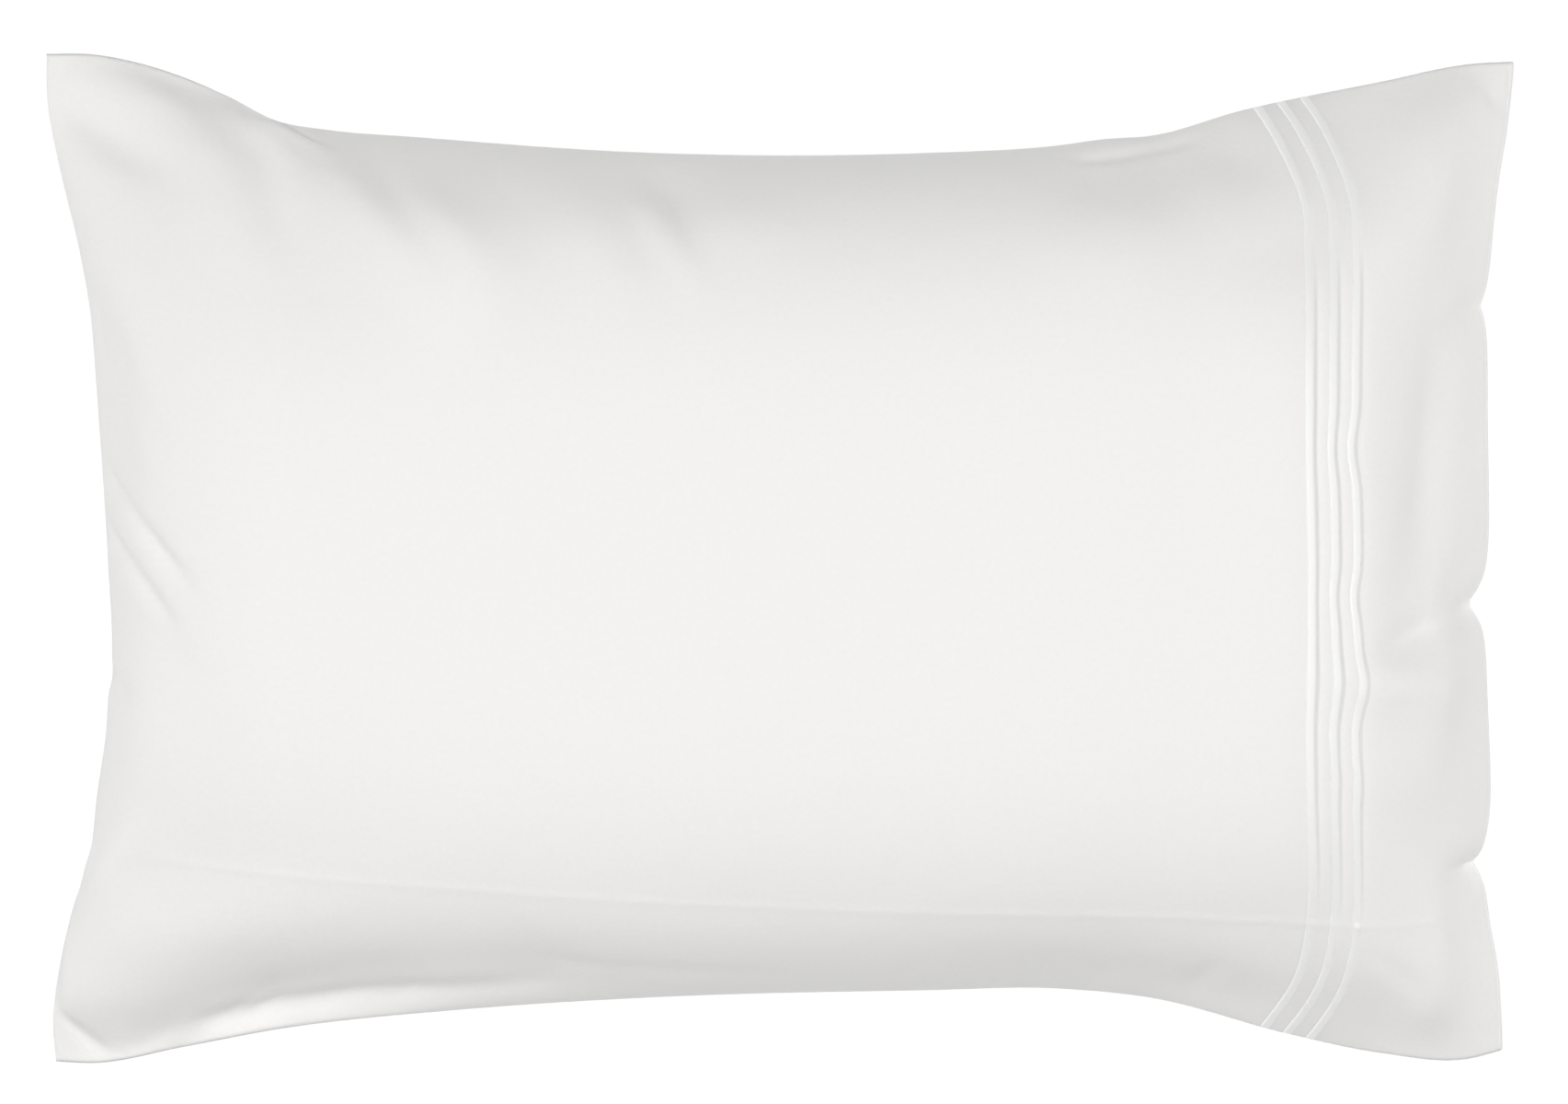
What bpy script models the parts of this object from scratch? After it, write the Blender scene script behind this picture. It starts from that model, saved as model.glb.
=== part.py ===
"""A white cotton pillowcase on a plump filling, lying on its back, as one filled solid with sewn rows.

Units are metres and +Z is up. The back rests on Z = 0, and the outline is centred on X = Y = 0. The
closed end is at -X, and the open mouth, with its deep cuff, at +X. The cloth is laid out flat first: a
place on it is (along, across), where along runs from the closed end to the mouth and across runs from
-1 at the bottom side seam to 1 at the top one. Each box below is sliced in those flat coordinates, and
every point is then moved to where the cloth lies.
"""

import bmesh
import bpy
import numpy as np

# Driving sizes.
CASE_LENGTH = 0.750  # flat, closed end to mouth
CLOTH = 0.002  # one layer with its air and its hem turn
SEAM_EDGE = 0.0024  # height of the sewn edge, two layers
CROWN = 0.099  # front of the middle above the side seams
BELLY = 0.095  # back of the middle below the side seams, before the floor flattens it
FLOOR_BLEND = 0.006  # how softly the back rounds into its resting face
NOSE_DEPTH = 0.092  # plan length over which the closed end rises
NOSE_CLOTH = 0.128  # cloth used up by that rise
NOSE_POWER = 2.2  # squareness of the rise

# The side seams seen from above, from the closed end to the mouth.
TOP_SEAM = (
    # x, y
    (-0.3607, 0.2481),
    (-0.3381, 0.2478),
    (-0.3155, 0.2436),
    (-0.2929, 0.2364),
    (-0.2703, 0.2266),
    (-0.2477, 0.2152),
    (-0.2206, 0.2108),
    (-0.1799, 0.2075),
    (-0.0669, 0.1993),
    (0.0687, 0.1994),
    (0.1365, 0.2030),
    (0.1817, 0.2085),
    (0.2269, 0.2206),
    (0.2947, 0.2346),
    (0.3399, 0.2438),
    (0.3607, 0.2445),
)
BOTTOM_SEAM = (
    # x, y
    (-0.3562, -0.2474),
    (-0.3381, -0.2481),
    (-0.2929, -0.2400),
    (-0.2477, -0.2314),
    (-0.1573, -0.2215),
    (-0.0669, -0.2156),
    (0.0687, -0.2120),
    (0.1365, -0.2111),
    (0.1817, -0.2156),
    (0.2495, -0.2335),
    (0.2947, -0.2430),
    (0.3376, -0.2463),
    (0.3553, -0.2409),
)
# Both ends seen from above, from the bottom side seam to the top one.
CLOSED_END = (
    # across, x
    (-1.00, -0.3562),
    (-0.92, -0.3575),
    (-0.80, -0.3540),
    (-0.70, -0.3490),
    (-0.59, -0.3400),
    (-0.48, -0.3358),
    (-0.26, -0.3291),
    (0.00, -0.3313),
    (0.18, -0.3336),
    (0.34, -0.3370),
    (0.50, -0.3404),
    (0.61, -0.3449),
    (0.78, -0.3544),
    (0.90, -0.3600),
    (1.00, -0.3607),
)
MOUTH = (
    # across, x
    (-1.00, 0.3553),
    (-0.83, 0.3530),
    (-0.74, 0.3494),
    (-0.47, 0.3494),
    (-0.24, 0.3475),
    (0.01, 0.3485),
    (0.32, 0.3475),
    (0.57, 0.3490),
    (0.74, 0.3526),
    (0.87, 0.3575),
    (1.00, 0.3607),
)
CLOSED_END_REACH = 0.130  # how far along the cloth each end's own outline shows
MOUTH_REACH = 0.075
# Where a crease runs out of the mouth, draws its edge in and dips it.
MOUTH_NOTCHES = (
    # across, depth, half_width, drop
    (0.505, 0.0040, 0.050, 0.004),
    (-0.095, 0.0098, 0.045, 0.007),
    (-0.615, 0.0080, 0.050, 0.006),
)
NOTCH_REACH = 0.050

# Height of the seam line above the floor at both side seams and midway between them.
SEAM_HEIGHTS = (
    # along, top, bottom, middle
    (0.000, 0.062, 0.057, 0.076),
    (0.060, 0.067, 0.063, 0.078),
    (0.140, 0.074, 0.073, 0.079),
    (0.375, 0.079, 0.079, 0.079),
    (0.600, 0.074, 0.072, 0.075),
    (0.700, 0.062, 0.058, 0.066),
    (0.750, 0.054, 0.049, 0.058),
)
# Sections across the case. fullness is the share of the crown that the section reaches past the
# closed end's rise, and its height is fullness * (1 - |across| ** roundness) ** toe: a toe over 1
# gives flat ears.
SECTIONS = (
    # along, middle_x, fullness, roundness, toe
    (0.000, -0.3313, 0.800, 3.4, 1.80),
    (0.128, -0.239, 0.885, 3.0, 0.98),
    (0.180, -0.186, 0.940, 3.3, 0.86),
    (0.270, -0.095, 0.985, 3.5, 0.77),
    (0.400, 0.036, 1.000, 3.5, 0.71),
    (0.530, 0.167, 0.980, 3.5, 0.73),
    (0.590, 0.2285, 0.940, 3.3, 0.78),
    (0.624, 0.2635, 0.890, 3.0, 0.82),
    (0.648, 0.2855, 0.815, 2.7, 0.84),
    (0.700, 0.3200, 0.480, 2.8, 1.00),
    (0.750, 0.3485, 0.165, 2.6, 0.95),
)
ROW_BOW_TOP = 6.0  # how late the sections turn back towards the closed end near each side seam
ROW_BOW_BOTTOM = 8.5

# Creases of the front seen from above, each a soft ridge or trough along a bent line. fade_from and
# fade_to are the shares of its length over which it dies away, and lean moves its top to the right
# of the line, seen from its start.
CREASES = (
    # start, bend, end, width, height, fade_from, fade_to, lean
    # the top ear of the closed end: its folds and the hollows between them
    ((-0.351, 0.252), (-0.290, 0.228), (-0.257, 0.145), 0.022, 0.0095, 0.30, 0.35, -0.0),
    ((-0.304, 0.245), (-0.291, 0.230), (-0.225, 0.175), 0.011, -0.0059, 0.30, 0.60, 0.5),
    ((-0.287, 0.208), (-0.219, 0.218), (-0.166, 0.121), 0.021, 0.0095, 0.30, 0.35, 0.0),
    ((-0.225, 0.233), (-0.205, 0.185), (-0.157, 0.132), 0.009, -0.0049, 0.30, 0.64, -0.2),
    ((-0.191, 0.169), (-0.141, 0.173), (-0.153, 0.122), 0.020, 0.0095, 0.55, 0.41, 0.0),
    ((-0.366, 0.229), (-0.324, 0.200), (-0.283, 0.172), 0.013, -0.0040, 0.34, 0.67, -1.0),
    ((-0.270, 0.232), (-0.245, 0.208), (-0.221, 0.135), 0.011, 0.0056, 0.30, 0.52, -0.4),
    ((-0.325, 0.244), (-0.251, 0.209), (-0.225, 0.216), 0.014, 0.0075, 0.30, 0.35, 0.9),
    # drag lines from the closed end
    ((-0.342, 0.125), (-0.320, 0.090), (-0.319, 0.031), 0.010, -0.0025, 0.30, 0.36, 0.7),
    ((-0.339, -0.051), (-0.288, -0.052), (-0.309, -0.123), 0.021, 0.0026, 0.30, 0.35, 1.0),
    ((-0.335, -0.169), (-0.343, -0.145), (-0.310, -0.128), 0.012, 0.0043, 0.30, 0.52, 1.0),
    # the bottom ear of the closed end: the hollow beside the seam, and the turned corner
    ((-0.298, -0.239), (-0.234, -0.208), (-0.121, -0.210), 0.018, -0.0093, 0.33, 0.35, 0.1),
    ((-0.344, -0.224), (-0.335, -0.262), (-0.300, -0.232), 0.011, -0.0059, 0.30, 0.35, 1.0),
    ((-0.345, -0.193), (-0.293, -0.187), (-0.175, -0.169), 0.022, 0.0081, 0.30, 0.75, -0.3),
    ((-0.362, -0.217), (-0.331, -0.226), (-0.277, -0.207), 0.021, 0.0092, 0.32, 0.35, -0.3),
    ((-0.269, -0.236), (-0.251, -0.209), (-0.237, -0.218), 0.011, -0.0047, 0.30, 0.35, 0.3),
    ((-0.228, -0.221), (-0.200, -0.226), (-0.164, -0.237), 0.017, -0.0085, 0.30, 0.35, 0.4),
    # the dent halfway along the top, and the folds beside it
    ((-0.072, 0.180), (-0.064, 0.175), (-0.044, 0.130), 0.010, 0.0042, 0.33, 0.45, -0.6),
    ((-0.077, 0.213), (-0.050, 0.181), (-0.051, 0.153), 0.018, -0.0083, 0.30, 0.45, -0.1),
    ((0.134, 0.195), (0.187, 0.209), (0.187, 0.180), 0.022, -0.0089, 0.30, 0.40, -0.2),
    ((-0.109, 0.179), (-0.085, 0.181), (-0.082, 0.130), 0.021, 0.0049, 0.64, 0.46, 0.5),
    ((0.170, 0.219), (0.231, 0.215), (0.237, 0.184), 0.019, -0.0080, 0.30, 0.47, -0.1),
    ((-0.061, 0.184), (-0.049, 0.170), (0.019, 0.166), 0.019, 0.0027, 0.30, 0.57, 1.0),
    # the lower side
    ((-0.138, -0.201), (-0.100, -0.215), (-0.054, -0.223), 0.017, -0.0092, 0.30, 0.35, 0.3),
    ((0.093, -0.206), (0.195, -0.212), (0.258, -0.224), 0.021, -0.0095, 0.30, 0.35, 1.0),
    # the cuff: a crease from each notch, and the hollow where it leaves the filling
    ((0.352, 0.128), (0.338, 0.118), (0.324, 0.102), 0.011, -0.0055, 0.1, 0.6, 0.0),
    ((0.342, -0.020), (0.322, -0.042), (0.294, -0.050), 0.013, -0.0075, 0.1, 0.5, 0.0),
    ((0.344, -0.151), (0.336, -0.144), (0.320, -0.136), 0.011, -0.0055, 0.1, 0.6, 0.0),
    ((0.290, -0.188), (0.310, -0.206), (0.324, -0.222), 0.012, -0.0040, 0.4, 0.4, 0.0),
    ((0.304, 0.124), (0.308, 0.050), (0.306, -0.008), 0.016, -0.0055, 0.4, 0.4, 0.0),
)
DAB_COUNTS = (8, 120)  # fewest and most soft dabs in one crease
DAB_REACH = 3  # widths
CREASE_LEAD = 0.15  # share of its length by which a crease begins before its start, or ends past its end
SEAM_HOLD = 12  # the higher, the nearer to a side seam the creases run
END_HOLD = 0.020  # cloth over which the creases grow from the closed end

# The open mouth: a hollow between the two cuff layers, back to the round end of the filling.
HOLLOW_START = 0.678  # along, where the filling meets the cloth
HOLLOW_BULGE = 0.014  # how far the filling rounds towards the mouth
HOLLOW_SIDE = 0.950  # across, where the side seams close the hollow
HOLLOW_SQUARENESS = 4  # of the filling's round end, seen from above
HOLLOW_OVERRUN = 0.012  # the cutter runs this far out of the mouth
HOLLOW_LEVELS = (-1.0, -0.5, 0.0, 0.5, 1.0)

# Three sewn rows between the body and the cuff.
ROW_SPACING = 0.012
ROW_PLACES = (0.624, 0.624 + ROW_SPACING, 0.624 + 2 * ROW_SPACING)  # along
ROW_HALF_WIDTH = 0.002
ROW_HEIGHT = 0.0016
ROW_EDGE = 0.45  # height of a row's edges, as a share of its middle
ROW_GAP = 0.0003
ROW_END = 0.9985  # across
# Sideways waves of the rows, strongest at the last one and gone this far past it.
WAVE_FALL = 0.060
ROW_WAVES = (
    # across, shift, half_width
    (0.250, -0.0026, 0.060),
    (-0.065, -0.0022, 0.050),
    (-0.250, 0.0024, 0.060),
    (-0.350, -0.0012, 0.035),
    (-0.460, 0.0010, 0.045),
)
ROW_DRIFT = (
    # across, shift: the rows wander off the straight line between the side seams
    (-1.00, 0.0015),
    (-0.90, 0.0010),
    (-0.80, -0.0004),
    (-0.68, -0.0013),
    (-0.50, -0.0032),
    (0.00, -0.0036),
    (0.20, -0.0048),
    (0.50, -0.0048),
    (0.66, -0.0034),
    (0.78, -0.0017),
    (0.87, -0.0036),
    (1.00, -0.0064),
)
DRIFT_REACH = (0.036, 0.040)  # before the first row and past the last

# Slices: spans of the flat cloth and the number of steps in each.
COLUMN_SPANS = (
    # from, to, steps
    (0.000, 0.180, 19),
    (0.180, 0.600, 15),
    (0.600, 0.622, 1),
    (0.650, 0.750, 9),
)
ROWS_OF_FACES = 42
LEAST_TURN = 0.01  # no slice of the hollow lies nearer than this to its sides
LEAST_STEP = 0.004  # or than this to its start
STEP = 1e-4  # for the slope of the cloth


def through(table, column, where):
    """Read the smooth curve through one column of a table against its first column."""
    knots = np.array([row[0] for row in table])
    values = np.array([row[column] for row in table])
    slopes = np.gradient(values, knots)
    index = np.clip(np.searchsorted(knots, where) - 1, 0, len(knots) - 2)
    span = knots[index + 1] - knots[index]
    part = np.clip((where - knots[index]) / span, 0.0, 1.0)
    rest = 1.0 - part
    ends = values[index] * rest**2 * (1 + 2 * part) + values[index + 1] * part**2 * (1 + 2 * rest)
    return ends + span * part * rest * (slopes[index] * rest - slopes[index + 1] * part)


def ease(low, high, value):
    """Rise smoothly from 0 at low to 1 at high."""
    part = np.clip((value - low) / (high - low), 0.0, 1.0)
    return part * part * (3 - 2 * part)


def between(low, high, share):
    return low + (high - low) * share


def seam_point(seam, along):
    """Plan position on a side seam at a distance along the flat cloth."""
    points = np.array(seam)
    steps = np.hypot(*np.diff(points, axis=0).T)
    lengths = np.concatenate([[0.0], np.cumsum(steps)])
    table = np.column_stack([lengths / lengths[-1] * CASE_LENGTH, points])
    return through(table, 1, along), through(table, 2, along)


def nose_turn(along):
    """The angle travelled round the closed end, a quarter turn at NOSE_CLOTH."""
    return np.clip(along / NOSE_CLOTH, 0.0, 1.0) * np.pi / 2


def middle_x(along):
    """Plan position of the middle of each section: the round closed end, then the table."""
    start = SECTIONS[0][1]
    nose = start + NOSE_DEPTH * (1 - np.cos(nose_turn(along)) ** (2 / NOSE_POWER))
    return np.where(along < NOSE_CLOTH, nose, through(SECTIONS, 1, along))


def section_height(along, across):
    """Height of a section above its seam line, as a share of the crown."""
    rise = np.sin(nose_turn(along)) ** (2 / NOSE_POWER)
    fullness = rise * through(SECTIONS, 2, along)
    roundness = through(SECTIONS, 3, along)
    toe = through(SECTIONS, 4, along)
    return fullness * np.clip(1 - np.abs(across) ** roundness, 0.0, 1.0) ** toe


def section_x(along, across):
    """Plan X of a section: straight between the side seams, bowed out to its middle."""
    top = seam_point(TOP_SEAM, along)[0]
    bottom = seam_point(BOTTOM_SEAM, along)[0]
    power = np.where(across > 0, ROW_BOW_TOP, ROW_BOW_BOTTOM)
    bow = (middle_x(along) - (top + bottom) / 2) * (1 - np.abs(across) ** power)
    return between(bottom, top, (across + 1) / 2) + bow


def near(across, place, half_width):
    """A peak of 1 at a place across the cloth, with wide feet."""
    return 1 / (1 + ((across - place) / half_width) ** 2)


def plan(along, across):
    """Where a place of the cloth lies, seen from above."""
    x = section_x(along, across)
    outlines = ((CLOSED_END, 0.0, CLOSED_END_REACH), (MOUTH, CASE_LENGTH, MOUTH_REACH))
    for outline, edge, reach in outlines:
        off = through(outline, 1, across) - section_x(edge, across)
        x = x + off * (1 - ease(0.0, reach, np.abs(along - edge)))
    at_mouth = ease(CASE_LENGTH - NOTCH_REACH, CASE_LENGTH, along)
    for place, depth, half_width, _ in MOUTH_NOTCHES:
        x = x - depth * at_mouth * near(across, place, half_width)
    fall_start = ROW_PLACES[2] + ROW_SPACING
    at_rows = ease(ROW_PLACES[0] - ROW_SPACING, ROW_PLACES[2], along)
    at_rows = at_rows * (1 - ease(fall_start, fall_start + WAVE_FALL, along))
    for place, shift, half_width in ROW_WAVES:
        x = x + shift * at_rows * np.exp(-(((across - place) / half_width) ** 2))
    top = seam_point(TOP_SEAM, along)[1]
    bottom = seam_point(BOTTOM_SEAM, along)[1]
    return x, between(bottom, top, (across + 1) / 2)


def crease_height(x, y):
    """Sum of the creases at a plan position. Each is a line of soft dabs half a width apart."""
    total = np.zeros_like(x)
    for start, bend, end, width, height, fade_from, fade_to, lean in CREASES:
        start, bend, end = np.array(start), np.array(bend), np.array(end)
        length = np.hypot(*(bend - start)) + np.hypot(*(end - bend))
        dabs = int(np.clip(np.ceil(2 * length / width), *DAB_COUNTS)) + 1
        share = np.linspace(0.0, 1.0, dabs)
        rest = 1 - share
        line_x = start[0] * rest**2 + 2 * bend[0] * share * rest + end[0] * share**2
        line_y = start[1] * rest**2 + 2 * bend[1] * share * rest + end[1] * share**2
        reach = DAB_REACH * width
        close = (x > line_x.min() - reach) & (x < line_x.max() + reach)
        close &= (y > line_y.min() - reach) & (y < line_y.max() + reach)
        step_x = np.gradient(line_x)
        step_y = np.gradient(line_y)
        step = np.hypot(step_x, step_y)
        fade = ease(-CREASE_LEAD, fade_from, share) * (1 - ease(1 - fade_to, 1 + CREASE_LEAD, share))
        strength = height * fade * step / (np.sqrt(np.pi) * width)
        off_x = (x[close][:, None] - line_x) / width
        off_y = (y[close][:, None] - line_y) / width
        to_right = (off_x * step_y - off_y * step_x) / step
        total[close] += (np.exp(-(off_x**2) - off_y**2) * (1 + lean * to_right)) @ strength
    return total


def smooth_skin(along, across, side):
    """The front (side 1) or the back (side -1) of the case before its creases."""
    x, y = plan(along, across)
    top = through(SEAM_HEIGHTS, 1, along)
    bottom = through(SEAM_HEIGHTS, 2, along)
    sides = between(bottom, top, (across + 1) / 2)
    seam = between(sides, through(SEAM_HEIGHTS, 3, along), 1 - across**2)
    height = section_height(along, across)
    if side > 0:
        z = seam + SEAM_EDGE / 2 + CROWN * height
        at_mouth = ease(CASE_LENGTH - NOTCH_REACH, CASE_LENGTH, along)
        for place, _, half_width, drop in MOUTH_NOTCHES:
            z = z - drop * at_mouth * near(across, place, half_width)
    else:
        raw = seam - SEAM_EDGE / 2 - BELLY * height
        eased = (raw + FLOOR_BLEND) ** 2 / (4 * FLOOR_BLEND)
        z = np.where(raw > FLOOR_BLEND, raw, np.where(raw > -FLOOR_BLEND, eased, 0.0))
    return np.stack([x, y, z], axis=-1)


def outward(along, across, side):
    """Unit normal of the smooth skin, pointing out of the case."""
    low_along = np.clip(along - STEP, 0.0, CASE_LENGTH - 2 * STEP)
    low_across = np.clip(across - STEP, -1.0, 1.0 - 2 * STEP)
    down = smooth_skin(low_along + 2 * STEP, across, side) - smooth_skin(low_along, across, side)
    over = smooth_skin(along, low_across + 2 * STEP, side) - smooth_skin(along, low_across, side)
    normal = np.cross(down, over) * side
    return normal / np.linalg.norm(normal, axis=-1, keepdims=True)


def drifted(along, across):
    """Places along the cloth, with those about the sewn rows moved by the rows' drift."""
    first, last = ROW_PLACES[0], ROW_PLACES[2]
    share = ease(first - DRIFT_REACH[0], first, along)
    share = share * (1 - ease(last, last + DRIFT_REACH[1], along))
    return along + through(ROW_DRIFT, 1, across) * share


def skin(along, across, side, lift=0.0):
    """The finished front or back, moved out along its normal by lift."""
    along = drifted(along, across)
    points = smooth_skin(along, across, side)
    out = np.zeros_like(along) + lift
    if side > 0:
        held = (1 - np.abs(across) ** SEAM_HOLD) * ease(0.0, END_HOLD, along)
        out = out + crease_height(points[..., 0], points[..., 1]) * held
    return points + outward(along, across, side) * out[..., None]


def case_point(along, across, level):
    """The closed case: level 1 is its front and level -1 its back."""
    return np.where((level > 0)[:, None], skin(along, across, 1), skin(along, across, -1))


def hollow_point(along, across, level):
    """Between the inner faces of both cuff layers, with the filling's round end towards the mouth."""
    inside = np.minimum(along, CASE_LENGTH)
    front = skin(inside, across, 1, -CLOTH)
    back = skin(inside, across, -1, -CLOTH)
    point = between(back, front, (level[:, None] + 1) / 2)
    depth = (CASE_LENGTH - inside) / (CASE_LENGTH - HOLLOW_START)
    middle = 1 - (across / HOLLOW_SIDE) ** HOLLOW_SQUARENESS
    point[:, 0] += HOLLOW_BULGE * (1 - level**2) * depth**2 * middle
    point[:, 0] += along - inside
    return point


def row_point(place):
    """How the low round strip of close stitches at one place follows the front."""

    def point(along, across, level):
        middle = 1 - ((along - place) / ROW_HALF_WIDTH) ** 2
        return skin(along, across, 1, ROW_GAP + level * ROW_HEIGHT * between(ROW_EDGE, 1.0, middle))

    return point


def sliced_box(name, columns, turns, levels, collection):
    """A cube spanning (along, turn, level) and cut at each of the given places."""
    mesh = bmesh.new()
    bmesh.ops.create_cube(mesh, size=1.0)
    cuts_by_axis = (columns, turns, levels)
    for vertex in mesh.verts:
        for axis, cuts in enumerate(cuts_by_axis):
            vertex.co[axis] = cuts[0] if vertex.co[axis] < 0 else cuts[-1]
    for axis, cuts in enumerate(cuts_by_axis):
        normal = [float(axis == each) for each in range(3)]
        for cut in cuts[1:-1]:
            place = [cut if axis == each else 0.0 for each in range(3)]
            geometry = mesh.verts[:] + mesh.edges[:] + mesh.faces[:]
            bmesh.ops.bisect_plane(mesh, geom=geometry, plane_co=place, plane_no=normal, dist=1e-7)
    data = bpy.data.meshes.new(name)
    mesh.to_mesh(data)
    mesh.free()
    made = bpy.data.objects.new(name, data)
    collection.objects.link(made)
    return made


def lay_out(made, shape):
    """Move each point of a sliced box to where the cloth lies. A turn of 1 is a quarter circle."""
    flat = np.empty(len(made.data.vertices) * 3)
    made.data.vertices.foreach_get("co", flat)
    along, turn, level = flat.reshape(-1, 3).T
    points = shape(along, across_at(turn), level)
    made.data.vertices.foreach_set("co", points.astype(np.float32).ravel())
    made.data.shade_smooth()
    made.data.update()


def across_at(turn):
    """Even turns give close rows of faces at the steep sides and wide ones in the middle."""
    return np.sin(np.clip(turn, -1.0, 1.0) * np.pi / 2)


def turn_at(across):
    return np.arcsin(across) / (np.pi / 2)


def column_places():
    """Slices along the cloth, with one at both sides and the middle of each sewn row."""
    places = [np.linspace(low, high, steps + 1) for low, high, steps in COLUMN_SPANS]
    places += [row + np.array([-ROW_HALF_WIDTH, 0.0, ROW_HALF_WIDTH]) for row in ROW_PLACES]
    return np.unique(np.round(np.concatenate(places), 6))


def fabric(name, colour, roughness, sheen):
    """Matt woven cotton, or its brighter sewing thread."""
    material = bpy.data.materials.new(name)
    material.use_nodes = True
    shader = material.node_tree.nodes["Principled BSDF"]
    shader.inputs["Base Color"].default_value = (*colour, 1.0)
    shader.inputs["Roughness"].default_value = roughness
    shader.inputs["Metallic"].default_value = 0.0
    shader.inputs["Sheen Weight"].default_value = sheen
    return material


def make_case(columns, turns, parts):
    case = sliced_box("pillowcase", columns, turns, (-1.0, 1.0), parts)
    lay_out(case, case_point)
    case.data.materials.append(fabric("white_cotton", (0.86, 0.86, 0.85), 0.85, 0.3))
    return case


def open_mouth(case, columns, turns, cutters):
    """Cut the hollow between the cuff layers out of the case."""
    side = turn_at(HOLLOW_SIDE)
    inner_turns = np.concatenate([[-side], turns[np.abs(turns) < side - LEAST_TURN], [side]])
    inner = columns[columns > HOLLOW_START + LEAST_STEP]
    inner = np.concatenate([[HOLLOW_START], inner, [CASE_LENGTH + HOLLOW_OVERRUN]])
    hollow = sliced_box("mouth_hollow", inner, inner_turns, HOLLOW_LEVELS, cutters)
    lay_out(hollow, hollow_point)
    hollow.hide_render = True
    hollow.display_type = "WIRE"
    cut = case.modifiers.new("mouth", "BOOLEAN")
    cut.operation = "DIFFERENCE"
    cut.solver = "EXACT"
    cut.object = hollow


def make_rows(turns, parts):
    thread = fabric("white_thread", (0.93, 0.93, 0.93), 0.45, 0.1)
    row_turns = turns[np.abs(across_at(turns)) <= ROW_END]
    for number, place in enumerate(ROW_PLACES, start=1):
        width = (place - ROW_HALF_WIDTH, place, place + ROW_HALF_WIDTH)
        row = sliced_box(f"stitched_row_{number}", width, row_turns, (0.0, 1.0), parts)
        lay_out(row, row_point(place))
        row.data.materials.append(thread)


def main():
    for old in list(bpy.data.objects):
        bpy.data.objects.remove(old, do_unlink=True)
    parts = bpy.data.collections.new("pillowcase_parts")
    cutters = bpy.data.collections.new("cutters")
    bpy.context.scene.collection.children.link(parts)
    bpy.context.scene.collection.children.link(cutters)
    columns = column_places()
    turns = np.linspace(-1.0, 1.0, ROWS_OF_FACES + 1)
    case = make_case(columns, turns, parts)
    open_mouth(case, columns, turns, cutters)
    make_rows(turns, parts)


main()
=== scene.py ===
# %% [markdown]
# # A white cotton pillowcase on a plump pillow
#
# The object is one length of white cotton percale, folded and seamed into a bag, pulled over a very
# plump pillow and photographed from straight above. Three rows of satin stitch part the body from a
# deep cuff at the open end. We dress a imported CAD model: its solid and its rows give the size, and
# this script puts finer cloth and real stitches in their place.
#
# The file runs from top to bottom, and each step first says what it makes and why in that way.

import bpy
import numpy as np
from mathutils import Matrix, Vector


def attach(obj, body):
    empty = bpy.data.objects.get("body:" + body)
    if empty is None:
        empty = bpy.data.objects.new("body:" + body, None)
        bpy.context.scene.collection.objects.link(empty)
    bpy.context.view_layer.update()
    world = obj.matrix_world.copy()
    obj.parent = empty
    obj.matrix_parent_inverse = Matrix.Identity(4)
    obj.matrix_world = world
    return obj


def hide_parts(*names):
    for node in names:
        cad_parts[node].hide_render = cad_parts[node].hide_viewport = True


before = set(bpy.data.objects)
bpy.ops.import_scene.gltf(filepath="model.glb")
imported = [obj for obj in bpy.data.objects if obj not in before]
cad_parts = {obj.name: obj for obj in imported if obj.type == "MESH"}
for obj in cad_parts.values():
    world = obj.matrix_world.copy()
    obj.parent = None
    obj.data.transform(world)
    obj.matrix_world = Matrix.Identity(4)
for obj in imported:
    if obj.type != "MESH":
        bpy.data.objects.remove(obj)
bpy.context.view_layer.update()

# %% [markdown]
# ## The cut of the cloth
#
# A pillowcase is sewn flat: 500 mm between the side seams and 750 mm from the closed end to the
# mouth. Once it is full it is shorter and narrower, because the cloth has to climb over the
# pillow. So every place is named in flat cloth sizes first: `along` in metres from the closed
# end, and `across` from -1 at the lower side seam to 1 at the upper one. Short tables then say
# where the cloth goes. One could sculpt the pillow instead, but with tables each seam and fold
# keeps its real size.

# %% Flat size
CASE_LENGTH = 0.750
CASE_WIDTH = 0.500
print("flat cloth in mm:", CASE_WIDTH * 1000, "by", CASE_LENGTH * 1000)

# %% [markdown]
# ## Reading the tables as smooth curves
#
# Cloth under tension has no kinks, so a table is read through a smooth curve (a cubic between
# each pair of knots that keeps the slope). Blender's own curve objects could hold these lines
# too, but a plain function can be asked for thousands of places at once.

# %% Smooth curves through short tables
def through(table, column, where):
    """Read the smooth curve through one column of a table against its first column."""
    knots = np.array([row[0] for row in table])
    values = np.array([row[column] for row in table])
    slopes = np.gradient(values, knots)
    index = np.clip(np.searchsorted(knots, where) - 1, 0, len(knots) - 2)
    span = knots[index + 1] - knots[index]
    part = np.clip((where - knots[index]) / span, 0.0, 1.0)
    rest = 1.0 - part
    ends = values[index] * rest**2 * (1 + 2 * part) + values[index + 1] * part**2 * (1 + 2 * rest)
    return ends + span * part * rest * (slopes[index] * rest - slopes[index + 1] * part)


def ease(low, high, value):
    """Rise smoothly from 0 at low to 1 at high."""
    part = np.clip((value - low) / (high - low), 0.0, 1.0)
    return part * part * (3 - 2 * part)


def between(low, high, share):
    return low + (high - low) * share


def near(value, place, half_width):
    """A peak of 1 at a place, with wide feet."""
    return 1 / (1 + ((value - place) / half_width) ** 2)


print("a quarter of the way up an ease: %.3f" % ease(0.0, 1.0, 0.25))

# %% [markdown]
# ## The side seams, seen from above
#
# Both side seams curve in between the corners, because the pillow takes up cloth there and the
# corners stay flat. Each seam is drawn as a few measured points. The cloth is then laid along it
# by its length, so that a place on the flat cloth is always found on the seam.

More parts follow.
